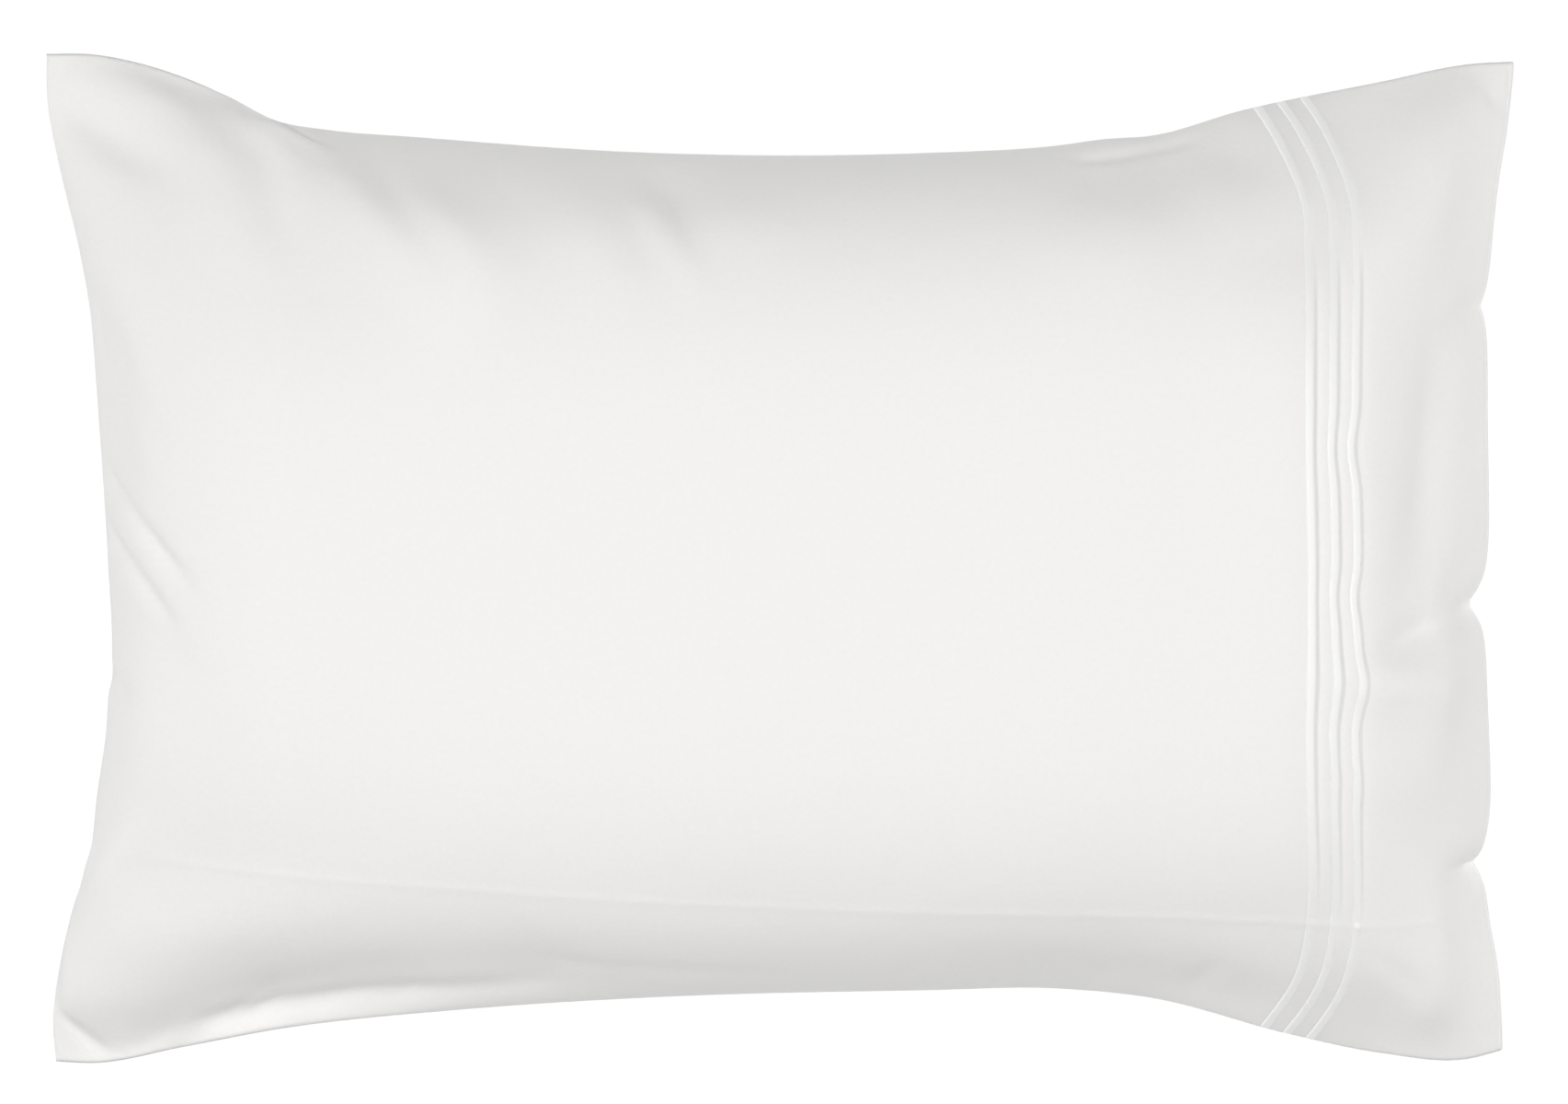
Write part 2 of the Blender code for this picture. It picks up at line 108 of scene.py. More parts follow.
# %% Side seams
TOP_SEAM = (
    # x, y
    (-0.3607, 0.2481),
    (-0.3381, 0.2478),
    (-0.3155, 0.2436),
    (-0.2929, 0.2364),
    (-0.2703, 0.2266),
    (-0.2477, 0.2152),
    (-0.2206, 0.2103),
    (-0.1799, 0.2070),
    (-0.0669, 0.1993),
    (0.0687, 0.1990),
    (0.1365, 0.2028),
    (0.1591, 0.2059),
    (0.1817, 0.2075),
    (0.2269, 0.2201),
    (0.2947, 0.2342),
    (0.3399, 0.2433),
    (0.3607, 0.2445),
)
BOTTOM_SEAM = (
    # x, y
    (-0.3562, -0.2474),
    (-0.3381, -0.2481),
    (-0.2929, -0.2400),
    (-0.2477, -0.2314),
    (-0.1573, -0.2215),
    (-0.0669, -0.2156),
    (0.0687, -0.2120),
    (0.1365, -0.2111),
    (0.1817, -0.2156),
    (0.2495, -0.2335),
    (0.2947, -0.2430),
    (0.3376, -0.2463),
    (0.3553, -0.2419),
)


def seam_point(seam, along):
    """Plan position on a side seam at a distance along the flat cloth."""
    points = np.array(seam)
    steps = np.hypot(*np.diff(points, axis=0).T)
    lengths = np.concatenate([[0.0], np.cumsum(steps)])
    table = np.column_stack([lengths / lengths[-1] * CASE_LENGTH, points])
    return through(table, 1, along), through(table, 2, along)


print("upper seam at its middle:", seam_point(TOP_SEAM, np.array(CASE_LENGTH / 2)))

# %% [markdown]
# ## The closed end and the mouth, seen from above
#
# The closed end is a smooth bow between two corners that stick out. The mouth is loose, and its
# edge is drawn in at three notches. Straight ends would be simpler, but these uneven lines are
# what makes the thing look like cloth.

# %% Outlines of both ends
CLOSED_END = (
    # across, x
    (-1.00, -0.3562),
    (-0.92, -0.3575),
    (-0.80, -0.3537),
    (-0.70, -0.3479),
    (-0.59, -0.3391),
    (-0.48, -0.3358),
    (-0.26, -0.3281),
    (0.00, -0.3301),
    (0.18, -0.3329),
    (0.34, -0.3358),
    (0.50, -0.3393),
    (0.61, -0.3443),
    (0.78, -0.3544),
    (0.90, -0.3600),
    (1.00, -0.3607),
)
MOUTH = (
    # across, x
    (-1.00, 0.3561),
    (-0.83, 0.3538),
    (-0.74, 0.3502),
    (-0.47, 0.3502),
    (-0.24, 0.3483),
    (0.01, 0.3493),
    (0.32, 0.3483),
    (0.57, 0.3498),
    (0.74, 0.3534),
    (0.87, 0.3584),
    (1.00, 0.3616),
)
CLOSED_END_REACH = 0.130  # cloth over which an outline dies away
MOUTH_REACH = 0.075
MOUTH_NOTCHES = (
    # across, depth, half_width, drop
    (0.505, 0.0044, 0.034, 0.004),
    (-0.095, 0.0096, 0.038, 0.007),
    (-0.615, 0.0084, 0.032, 0.006),
)
NOTCH_REACH = 0.050  # cloth over which a notch dies away
print("notches in the mouth:", len(MOUTH_NOTCHES))

# %% [markdown]
# ## Sections across the case
#
# A section says how far its middle lies from the centre, how full it is and how round. `toe` is
# how softly it meets the side seams. At the closed end the cloth turns up like a nose, so 128 mm
# of cloth cover only 92 mm seen from above. Each section is bowed between its seams.

# %% Sections
SECTIONS = (
    # along, middle_x, fullness, roundness, toe
    (0.000, -0.3313, 0.800, 3.4, 1.80),
    (0.128, -0.239, 0.885, 3.0, 0.98),
    (0.180, -0.186, 0.940, 3.3, 0.86),
    (0.270, -0.095, 0.985, 3.5, 0.77),
    (0.400, 0.036, 1.000, 3.5, 0.71),
    (0.530, 0.167, 0.980, 3.5, 0.73),
    (0.590, 0.2285, 0.940, 3.3, 0.78),
    (0.624, 0.2635, 0.890, 3.0, 0.82),
    (0.648, 0.2855, 0.815, 2.7, 0.84),
    (0.700, 0.3200, 0.480, 2.8, 1.00),
    (0.750, 0.3485, 0.165, 2.6, 0.95),
)
NOSE_DEPTH = 0.092  # plan length over which the closed end rises
NOSE_CLOTH = 0.128  # cloth used up by that rise
NOSE_POWER = 2.2  # 2 is a quarter circle, more is squarer
ROW_BOW_TOP = 6.0  # the higher, the closer to the seam a section turns back
ROW_BOW_BOTTOM = 8.5


def nose_turn(along):
    """The angle travelled round the closed end, a quarter turn at NOSE_CLOTH."""
    return np.clip(along / NOSE_CLOTH, 0.0, 1.0) * np.pi / 2


def middle_x(along):
    start = SECTIONS[0][1]
    nose = start + NOSE_DEPTH * (1 - np.cos(nose_turn(along)) ** (2 / NOSE_POWER))
    return np.where(along < NOSE_CLOTH, nose, through(SECTIONS, 1, along))


def section_x(along, across):
    """Plan X of a section: straight between the side seams, bowed out to its middle."""
    top = seam_point(TOP_SEAM, along)[0]
    bottom = seam_point(BOTTOM_SEAM, along)[0]
    power = np.where(across > 0, ROW_BOW_TOP, ROW_BOW_BOTTOM)
    bow = (middle_x(along) - (top + bottom) / 2) * (1 - np.abs(across) ** power)
    return between(bottom, top, (across + 1) / 2) + bow


print("sections:", len(SECTIONS))

# %% [markdown]
# ## Where the cloth lies, seen from above
#
# Now the seams, the ends and the sections are joined into one function. Three sewn rows cross the
# case before the cuff. They gather the cloth a little, so it waves there, and each wave is a
# shift at one place across.

# %% Plan of the cloth
ROW_SPACING = 0.012
ROW_PLACES = (0.624, 0.624 + ROW_SPACING, 0.624 + 2 * ROW_SPACING)  # along
WAVE_FALL = 0.060  # cloth of the cuff over which the waves die away
ROW_WAVES = (
    # across, shift, half_width
    (0.250, -0.0026, 0.060),
    (-0.065, -0.0022, 0.050),
    (-0.250, 0.0024, 0.060),
    (-0.350, -0.0004, 0.035),
    (-0.460, 0.0010, 0.045),
)


def plan(along, across):
    """Where a place of the cloth lies, seen from above."""
    x = section_x(along, across)
    outlines = ((CLOSED_END, 0.0, CLOSED_END_REACH), (MOUTH, CASE_LENGTH, MOUTH_REACH))
    for outline, edge, reach in outlines:
        off = through(outline, 1, across) - section_x(edge, across)
        x = x + off * (1 - ease(0.0, reach, np.abs(along - edge)))
    at_mouth = ease(CASE_LENGTH - NOTCH_REACH, CASE_LENGTH, along)
    for place, depth, half_width, _ in MOUTH_NOTCHES:
        x = x - depth * at_mouth * near(across, place, half_width)
    fall_start = ROW_PLACES[2] + ROW_SPACING
    at_rows = ease(ROW_PLACES[0] - ROW_SPACING, ROW_PLACES[2], along)
    at_rows = at_rows * (1 - ease(fall_start, fall_start + WAVE_FALL, along))
    for place, shift, half_width in ROW_WAVES:
        x = x + shift * at_rows * np.exp(-(((across - place) / half_width) ** 2))
    top = seam_point(TOP_SEAM, along)[1]
    bottom = seam_point(BOTTOM_SEAM, along)[1]
    return x, between(bottom, top, (across + 1) / 2)


print("outline at the middle of the mouth:", plan(np.array(CASE_LENGTH), np.array(0.0)))

# %% [markdown]
# ## How high the cloth lies
#
# A section is a rounded box: full in the middle and steep at the seams. At the four corners there
# is no pillow left to fill it, so it fades out to flat ears. The back mirrors the front and is
# pressed flat where it lies on the floor.
#
# Between the seam line and 1.6 mm from it the two layers close into a soft sewn edge, so the side
# seam has no hard step.

# %% Heights
SEAM_HEIGHTS = (
    # along, top, bottom, middle
    (0.000, 0.062, 0.057, 0.076),
    (0.060, 0.067, 0.063, 0.078),
    (0.140, 0.074, 0.073, 0.079),
    (0.375, 0.079, 0.079, 0.079),
    (0.600, 0.074, 0.072, 0.075),
    (0.700, 0.062, 0.058, 0.066),
    (0.750, 0.054, 0.049, 0.058),
)
SEAM_EDGE = 0.0024  # the sewn edge, two layers
CROWN = 0.099  # front of the middle above the side seams
BELLY = 0.095  # back of the middle below them, before the floor flattens it
FLOOR_BLEND = 0.006  # height over which the back turns flat


def section_height(along, across):
    """Height of a section above its seam line, as a share of the crown."""
    rise = np.sin(nose_turn(along)) ** (2 / NOSE_POWER)
    fullness = rise * through(SECTIONS, 2, along)
    roundness = through(SECTIONS, 3, along)
    toe = through(SECTIONS, 4, along)
    return fullness * np.clip(1 - np.abs(across) ** roundness, 0.0, 1.0) ** toe


def seam_line(along, across):
    top = through(SEAM_HEIGHTS, 1, along)
    bottom = through(SEAM_HEIGHTS, 2, along)
    sides = between(bottom, top, (across + 1) / 2)
    return between(sides, through(SEAM_HEIGHTS, 3, along), 1 - across**2)


def smooth_skin(along, across, side, edge=1.0):
    """The front (side 1) or back (side -1) before its creases. edge is 0 on the sewn edge."""
    x, y = plan(along, across)
    seam = seam_line(along, across)
    height = section_height(along, across)
    if side > 0:
        z = seam + edge * SEAM_EDGE / 2 + CROWN * height
        at_mouth = ease(CASE_LENGTH - NOTCH_REACH, CASE_LENGTH, along)
        for place, _, half_width, drop in MOUTH_NOTCHES:
            z = z - drop * at_mouth * near(across, place, half_width)
    else:
        raw = seam - edge * SEAM_EDGE / 2 - BELLY * height
        eased = (raw + FLOOR_BLEND) ** 2 / (4 * FLOOR_BLEND)
        z = np.where(raw > FLOOR_BLEND, raw, np.where(raw > -FLOOR_BLEND, eased, 0.0))
    return np.stack([x, y, z], axis=-1)


middle_height = smooth_skin(np.array(CASE_LENGTH / 2), np.array(0.0), 1)[2]
print("middle of the front in mm: %.0f" % (middle_height * 1e3))

# %% [markdown]
# ## Which way is out
#
# Creases, stitches and the thickness of the cloth are all measured square to its surface. Blender
# could give the normals of a finished mesh, but they are needed before there is one. So the slope
# is taken from two places close by, a tenth of a millimetre away.

# %% Normal of the smooth skin
STEP = 1e-4  # in metres along, and as a share across


def outward(along, across, side):
    """Unit normal of the smooth skin, pointing out of the case."""
    low_along = np.clip(along - STEP, 0.0, CASE_LENGTH - 2 * STEP)
    low_across = np.clip(across - STEP, -1.0, 1.0 - 2 * STEP)
    down = smooth_skin(low_along + 2 * STEP, across, side) - smooth_skin(low_along, across, side)
    over = smooth_skin(along, low_across + 2 * STEP, side) - smooth_skin(along, low_across, side)
    normal = np.cross(down, over) * side
    return normal / np.linalg.norm(normal, axis=-1, keepdims=True)


print("normal in the middle:", outward(np.array(CASE_LENGTH / 2), np.array(0.0), 1).round(2))

# %% [markdown]
# ## Main creases
#
# New cotton holds a fold. The long ones run into the body from the two left corners, where the
# cloth turns from flat to full, and short drag lines start at the closed end. The loose cuff
# falls in at each notch. A sculptor would draw them with a soft brush, and so does this table:
# each row is a bent line seen from above, painted in soft dabs of some width and height (a trough
# is below 0), which dies away at both ends. `lean` moves a crease's top to its right, seen from
# its start.

# %% Table of the main creases
MAIN_CREASES = (
    # start, bend, end, width, height, fade_from, fade_to, lean
    # the top ear of the closed end: its folds and the hollows between them
    ((-0.351, 0.252), (-0.290, 0.228), (-0.257, 0.145), 0.022, 0.0095, 0.30, 0.35, 0.0),
    ((-0.304, 0.245), (-0.291, 0.230), (-0.225, 0.175), 0.011, -0.0059, 0.30, 0.60, 0.5),
    ((-0.287, 0.208), (-0.219, 0.218), (-0.166, 0.121), 0.021, 0.0095, 0.30, 0.35, 0.0),
    ((-0.225, 0.233), (-0.205, 0.185), (-0.157, 0.132), 0.009, -0.0049, 0.30, 0.64, -0.2),
    ((-0.191, 0.169), (-0.141, 0.173), (-0.153, 0.122), 0.020, 0.0095, 0.55, 0.41, 0.0),
    ((-0.366, 0.229), (-0.324, 0.200), (-0.283, 0.172), 0.013, -0.0040, 0.34, 0.67, -1.0),
    ((-0.270, 0.232), (-0.245, 0.208), (-0.221, 0.135), 0.011, 0.0056, 0.30, 0.52, -0.4),
    ((-0.1628, 0.1883), (-0.1574, 0.1625), (-0.1335, 0.1488), 0.0059, -0.0007, 0.38, 0.75, 0.1),
    ((-0.325, 0.244), (-0.251, 0.209), (-0.225, 0.216), 0.014, 0.0075, 0.30, 0.35, 0.9),
    # drag lines from the closed end
    ((-0.342, 0.125), (-0.320, 0.090), (-0.319, 0.031), 0.010, -0.0036, 0.30, 0.36, 0.7),
    ((-0.3370, 0.0460), (-0.3140, 0.0150), (-0.2830, -0.0180), 0.0046, -0.0046, 0.10, 0.40, 0.4),
    ((-0.3340, 0.0160), (-0.3180, -0.0070), (-0.2930, -0.0360), 0.0044, -0.0052, 0.10, 0.40, 0.2),
    ((-0.339, -0.051), (-0.288, -0.052), (-0.309, -0.123), 0.021, 0.0026, 0.30, 0.35, 1.0),
    ((-0.335, -0.169), (-0.343, -0.145), (-0.310, -0.128), 0.012, 0.0043, 0.30, 0.52, 1.0),
    # the bottom ear of the closed end: the hollow beside the seam, and the turned corner
    ((-0.298, -0.239), (-0.234, -0.208), (-0.121, -0.210), 0.018, -0.0093, 0.33, 0.35, 0.1),
    ((-0.344, -0.224), (-0.335, -0.262), (-0.300, -0.232), 0.011, -0.0059, 0.30, 0.35, 1.0),
    ((-0.345, -0.193), (-0.293, -0.187), (-0.175, -0.169), 0.022, 0.0081, 0.30, 0.75, -0.3),
    ((-0.362, -0.217), (-0.331, -0.226), (-0.277, -0.207), 0.021, 0.0092, 0.32, 0.35, -0.3),
    ((-0.3094, -0.2482), (-0.3023, -0.2372), (-0.2908, -0.2361), 0.0044, 0.0024, 0.30, 0.35, -0.1),
    ((-0.269, -0.236), (-0.251, -0.209), (-0.237, -0.218), 0.011, -0.0047, 0.30, 0.35, 0.3),
    ((-0.228, -0.221), (-0.200, -0.226), (-0.164, -0.237), 0.017, -0.0085, 0.30, 0.35, 0.4),
    ((-0.1839, -0.2229), (-0.1327, -0.2153), (-0.1100, -0.2156), 0.0049, 0.0027, 0.30, 0.35, 1.0),
    # the dent halfway along the top, and the folds beside it
    ((-0.072, 0.180), (-0.064, 0.175), (-0.044, 0.130), 0.010, 0.0042, 0.33, 0.45, -0.6),
    ((-0.077, 0.213), (-0.050, 0.181), (-0.051, 0.153), 0.018, -0.0083, 0.30, 0.45, -0.1),
    ((0.134, 0.195), (0.187, 0.209), (0.187, 0.180), 0.022, -0.0089, 0.30, 0.40, -0.2),
    ((0.164, 0.175), (0.177, 0.151), (0.130, 0.165), 0.022, 0.0021, 0.48, 0.35, -1.0),
    ((-0.109, 0.179), (-0.085, 0.181), (-0.082, 0.130), 0.021, 0.0049, 0.64, 0.46, 0.5),
    ((0.170, 0.219), (0.231, 0.215), (0.237, 0.184), 0.019, -0.0080, 0.30, 0.47, -0.1),
    ((-0.061, 0.184), (-0.049, 0.170), (0.019, 0.166), 0.019, 0.0027, 0.30, 0.57, 1.0),
    # the lower side
    ((0.142, -0.187), (0.159, -0.191), (0.202, -0.193), 0.010, -0.0011, 0.30, 0.67, -0.2),
    ((-0.138, -0.201), (-0.100, -0.215), (-0.054, -0.223), 0.017, -0.0092, 0.30, 0.35, 0.3),
    ((-0.0969, -0.2009), (-0.0335, -0.2038), (0.0143, -0.2069), 0.0046, -0.0018, 0.30, 0.35, -0.2),
    ((0.208, -0.200), (0.205, -0.200), (0.215, -0.198), 0.009, -0.0017, 0.38, 0.71, -0.1),
    ((-0.127, -0.171), (-0.049, -0.214), (0.141, -0.173), 0.020, 0.0011, 0.30, 0.35, -1.0),
    ((0.093, -0.206), (0.195, -0.212), (0.258, -0.224), 0.021, -0.0095, 0.30, 0.35, 1.0),
    # the upper half of the cuff
    ((0.333, 0.121), (0.357, 0.142), (0.342, 0.090), 0.009, 0.0046, 0.30, 0.35, -0.4),
    ((0.325, 0.125), (0.320, 0.065), (0.305, -0.021), 0.014, -0.0044, 0.37, 0.35, -0.8),
    ((0.356, 0.099), (0.347, 0.055), (0.347, 0.006), 0.010, 0.0057, 0.43, 0.35, -0.4),
    ((0.311, 0.241), (0.314, 0.195), (0.310, 0.120), 0.022, 0.0075, 0.30, 0.35, 0.3),
    ((0.3408, 0.2494), (0.3435, 0.2381), (0.3609, 0.2142), 0.0047, -0.0019, 0.30, 0.35, -0.1),
    ((0.343, 0.250), (0.344, 0.208), (0.322, 0.167), 0.022, 0.0095, 0.30, 0.35, 1.0),
    # the lower half of the cuff
    ((0.340, -0.029), (0.316, -0.029), (0.290, -0.047), 0.008, -0.0047, 0.30, 0.44, -0.5),
    ((0.3409, 0.0053), (0.3385, -0.0125), (0.3258, -0.0204), 0.0057, -0.0031, 0.30, 0.35, 1.0),
    ((0.274, -0.058), (0.321, -0.074), (0.350, -0.051), 0.013, 0.0040, 0.30, 0.37, -0.2),
    ((0.358, -0.141), (0.343, -0.133), (0.339, -0.148), 0.011, 0.0055, 0.30, 0.35, -0.5),
    ((0.271, -0.187), (0.302, -0.192), (0.339, -0.238), 0.022, 0.0051, 0.35, 0.37, 0.2),
    ((0.352, -0.023), (0.318, -0.073), (0.319, -0.139), 0.020, 0.0062, 0.44, 0.59, 1.0),
    ((0.313, -0.148), (0.342, -0.209), (0.319, -0.236), 0.016, 0.0058, 0.30, 0.35, 1.0),
)
print("main creases:", len(MAIN_CREASES))

# %% [markdown]
# ## Fine creases
#
# The small ones tell cotton from any other soft thing: the line that a hot iron pressed in, the
# puckers where a seam gathers the cloth, and the folds of the cuff. They could be a bump map, but
# real height still shows from the side, and in the mesh itself.

# %% Table of the fine creases
FINE_CREASES = (
    # start, bend, end, width, height, fade_from, fade_to, lean
    # the line pressed in by a hot iron along the lower side
    ((-0.3226, -0.1429), (-0.2620, -0.1535), (-0.1114, -0.1635), 0.0020, 0.00030, 0.20, 0.10, 1.0),
    ((-0.1160, -0.1632), (-0.0100, -0.1705), (0.1582, -0.1734), 0.0020, 0.00032, 0.10, 0.10, 1.0),
    ((0.1530, -0.1733), (0.2150, -0.1748), (0.2853, -0.1788), 0.0020, 0.00032, 0.10, 0.10, 1.0),
    ((0.2800, -0.1787), (0.3050, -0.1795), (0.3266, -0.1721), 0.0020, 0.00040, 0.10, 0.30, 1.0),
    # where the upper ear's fold overlaps the body
    ((-0.2560, 0.2115), (-0.2400, 0.2050), (-0.2200, 0.1930), 0.0034, 0.0050, 0.20, 0.50, 0.0),
    ((-0.2510, 0.2140), (-0.2380, 0.2085), (-0.2190, 0.1985), 0.0032, -0.0120, 0.15, 0.55, 0.0),
    # the dent halfway along the top
    ((-0.0633, 0.1970), (-0.0555, 0.1730), (-0.0426, 0.1500), 0.0045, -0.0014, 0.30, 0.40, 0.0),
    ((-0.0696, 0.1750), (-0.0640, 0.1580), (-0.0543, 0.1436), 0.0040, 0.0008, 0.30, 0.40, 0.0),
    # the flat strip beside the lower seam
    ((-0.2850, -0.2310), (-0.2080, -0.2195), (-0.1102, -0.2135), 0.0060, -0.0130, 0.15, 0.35, 0.0),
    # the turned lower corner of the closed end
    ((-0.3548, -0.2228), (-0.3450, -0.2330), (-0.3291, -0.2441), 0.0035, -0.0040, 0.15, 0.20, 0.0),
    # puckers that start at the lower side seam
    ((-0.3141, -0.2441), (-0.3025, -0.2395), (-0.2915, -0.2364), 0.0030, 0.0024, 0.30, 0.50, 0.0),
    ((-0.2700, -0.2310), (-0.2610, -0.2230), (-0.2490, -0.2190), 0.0032, 0.0026, 0.30, 0.50, 0.0),
    ((-0.2147, -0.2245), (-0.2050, -0.2225), (-0.1920, -0.2190), 0.0030, 0.0024, 0.30, 0.50, 0.0),
    ((-0.1840, -0.2230), (-0.1810, -0.2180), (-0.1780, -0.2110), 0.0035, -0.0026, 0.30, 0.60, 0.0),
    ((-0.0900, -0.2180), (-0.0800, -0.2120), (-0.0690, -0.2030), 0.0035, -0.0016, 0.30, 0.60, 0.0),
    ((0.0680, -0.2120), (0.0730, -0.2060), (0.0850, -0.1980), 0.0040, -0.0012, 0.30, 0.60, 0.0),
    ((0.0560, -0.2110), (0.0620, -0.2040), (0.0731, -0.1960), 0.0045, -0.0018, 0.30, 0.60, 0.0),
    ((0.1500, -0.2130), (0.1560, -0.2070), (0.1655, -0.1990), 0.0045, -0.0020, 0.30, 0.60, 0.0),
    ((0.1960, -0.2180), (0.2060, -0.2080), (0.2174, -0.1950), 0.0050, -0.0022, 0.30, 0.60, 0.0),
    ((-0.1119, -0.1976), (-0.1000, -0.2000), (-0.0848, -0.2043), 0.0040, -0.0014, 0.30, 0.40, 0.0),
    # puckers that start at the upper side seam
    ((-0.1550, 0.2060), (-0.1480, 0.1990), (-0.1400, 0.1880), 0.0035, -0.0014, 0.30, 0.60, 0.0),
    ((0.0200, 0.2000), (0.0230, 0.1930), (0.0290, 0.1840), 0.0035, -0.0012, 0.30, 0.60, 0.0),
    ((0.1430, 0.1970), (0.1750, 0.2005), (0.2039, 0.2075), 0.0026, -0.0050, 0.20, 0.20, 0.0),
    ((0.3395, 0.2410), (0.3420, 0.2340), (0.3428, 0.2260), 0.0025, -0.0016, 0.30, 0.50, 0.0),
    ((0.3470, 0.2300), (0.3500, 0.2260), (0.3515, 0.2205), 0.0022, -0.0014, 0.30, 0.50, 0.0),
    # the cuff's small folds
    ((0.3450, 0.1268), (0.3340, 0.1202), (0.3248, 0.1112), 0.0030, -0.0012, 0.20, 0.60, 0.5),
    ((0.3382, 0.0032), (0.3310, -0.0030), (0.3244, -0.0103), 0.0030, -0.0009, 0.20, 0.60, 0.5),
    ((0.3400, -0.0230), (0.3200, -0.0330), (0.2940, -0.0540), 0.0070, -0.0014, 0.20, 0.40, 0.3),
    ((0.2927, -0.0732), (0.3060, -0.0700), (0.3197, -0.0687), 0.0032, -0.0009, 0.40, 0.50, 0.0),
    ((0.2842, -0.1902), (0.3050, -0.2010), (0.3205, -0.2175), 0.0050, -0.0011, 0.40, 0.50, 0.0),
    # broad hollows beside the drag lines of the closed end
    ((-0.3320, 0.0260), (-0.3100, 0.0060), (-0.2880, -0.0160), 0.0085, -0.0012, 0.30, 0.40, 0.6),
    ((-0.3290, -0.0120), (-0.3050, -0.0300), (-0.2800, -0.0600), 0.0085, -0.0018, 0.30, 0.40, 0.6),
    ((-0.3380, 0.0640), (-0.3200, 0.0400), (-0.2920, 0.0170), 0.0085, -0.0014, 0.40, 0.50, 0.6),
    # faint folds of the drawn-in sides
    ((-0.3400, 0.1350), (-0.3200, 0.0900), (-0.2980, 0.0430), 0.0060, -0.0018, 0.20, 0.50, 0.0),
    ((-0.3330, -0.0490), (-0.3230, -0.0610), (-0.3120, -0.0740), 0.0036, -0.0026, 0.10, 0.50, 0.0),
    ((0.1530, 0.1910), (0.1590, 0.1820), (0.1645, 0.1700), 0.0040, -0.0009, 0.30, 0.60, 0.0),
)
print("fine creases:", len(FINE_CREASES))

# %% [markdown]
# ## Painting a crease in soft dabs
#
# The dabs lie half a width apart along the bent line, so that they melt into one ridge. Only
# places near the line are worked out, which keeps this quick.

# %% Height of all creases
DAB_COUNTS = (8, 120)  # fewest and most in one crease
DAB_REACH = 3  # widths from the line where a dab has died away
CREASE_LEAD = 0.15  # share of its length that a crease fades past its ends


def crease_height(x, y):
    """Sum of all creases at a plan position."""
    total = np.zeros_like(x)
    for start, bend, end, width, height, fade_from, fade_to, lean in MAIN_CREASES + FINE_CREASES:
        start, bend, end = np.array(start), np.array(bend), np.array(end)
        length = np.hypot(*(bend - start)) + np.hypot(*(end - bend))
        dabs = int(np.clip(np.ceil(2 * length / width), *DAB_COUNTS)) + 1
        share = np.linspace(0.0, 1.0, dabs)
        rest = 1 - share
        line_x = start[0] * rest**2 + 2 * bend[0] * share * rest + end[0] * share**2
        line_y = start[1] * rest**2 + 2 * bend[1] * share * rest + end[1] * share**2
        reach = DAB_REACH * width
        close = (x > line_x.min() - reach) & (x < line_x.max() + reach)
        close &= (y > line_y.min() - reach) & (y < line_y.max() + reach)
        step_x = np.gradient(line_x)
        step_y = np.gradient(line_y)
        step = np.hypot(step_x, step_y)
        fade = ease(-CREASE_LEAD, fade_from, share)
        fade = fade * (1 - ease(1 - fade_to, 1 + CREASE_LEAD, share))
        strength = height * fade * step / (np.sqrt(np.pi) * width)
        off_x = (x[close][:, None] - line_x) / width
        off_y = (y[close][:, None] - line_y) / width
        to_right = (off_x * step_y - off_y * step_x) / step
        total[close] += (np.exp(-(off_x**2) - off_y**2) * (1 + lean * to_right)) @ strength
    return total


pressed_line = crease_height(np.array([0.05]), np.array([-0.172]))[0]
print("creases at one place of the pressed line in mm: %.2f" % (pressed_line * 1e3))

# %% [markdown]
# ## What the sewn rows do to the cloth
#
# Tight stitches pull. Once the pillow is in, the three rows wander a few millimetres off the
# straight line between the side seams, and the cloth steps straight down past each of them. It
# swells a little before the first row and rises again over the cuff. Those steps are the grey
# lines beside the rows. A bump map could paint them, but real height catches the light from every
# side. The turned hem leaves one faint line near the edge.

# %% Drift of the rows and pull of the stitches
ROW_DRIFT = (
    # across, shift: the rows wander off the straight line between the side seams
    (-1.00, 0.0012),
    (-0.90, 0.0010),
    (-0.80, -0.0002),
    (-0.68, -0.0016),
    (-0.50, -0.0042),
    (0.00, -0.0046),
    (0.20, -0.0058),
    (0.50, -0.0058),
    (0.66, -0.0042),
    (0.78, -0.0019),
    (0.87, -0.0034),
    (1.00, -0.0056),
)
DRIFT_REACH = (0.036, 0.040)  # before the first row and past the last
ROW_CLIFF = (0.0014, 0.0042)  # past a row: the top and the foot of its step
ROW_SWELLS = ((0.555, 0.623), (0.652, 0.735))  # along, where the cloth rises again
ROW_PULL = (
    # across, depth of one step
    (-1.00, 0.0001),
    (-0.80, 0.0001),
    (-0.68, 0.0018),
    (-0.30, 0.0032),
    (0.10, 0.0038),
    (0.58, 0.0030),
    (0.70, 0.0004),
    (0.80, 0.0008),
    (0.92, 0.0009),
    (1.00, 0.0000),
)
HEM_LINE = (0.7474, 0.0005, 0.0003)  # along, half width, depth


def drifted(along, across):
    """Places along the cloth, with those about the sewn rows moved by the rows' drift."""
    first, last = ROW_PLACES[0], ROW_PLACES[2]
    share = ease(first - DRIFT_REACH[0], first, along)
    share = share * (1 - ease(last, last + DRIFT_REACH[1], along))
    return along + through(ROW_DRIFT, 1, across) * share


def stitch_pull(along, across):
    """How far stitches sink the cloth: a step down past each row, and the line of the hem."""
    top, foot = ROW_CLIFF
    steps = sum(ease(place + top, place + foot, along) for place in ROW_PLACES)
    risen = sum(ease(*swell, along) for swell in ROW_SWELLS) / len(ROW_SWELLS)
    sunk = steps - risen * len(ROW_PLACES)
    hem = HEM_LINE[2] * np.exp(-(((along - HEM_LINE[0]) / HEM_LINE[1]) ** 2))
    return sunk * through(ROW_PULL, 1, across) + hem


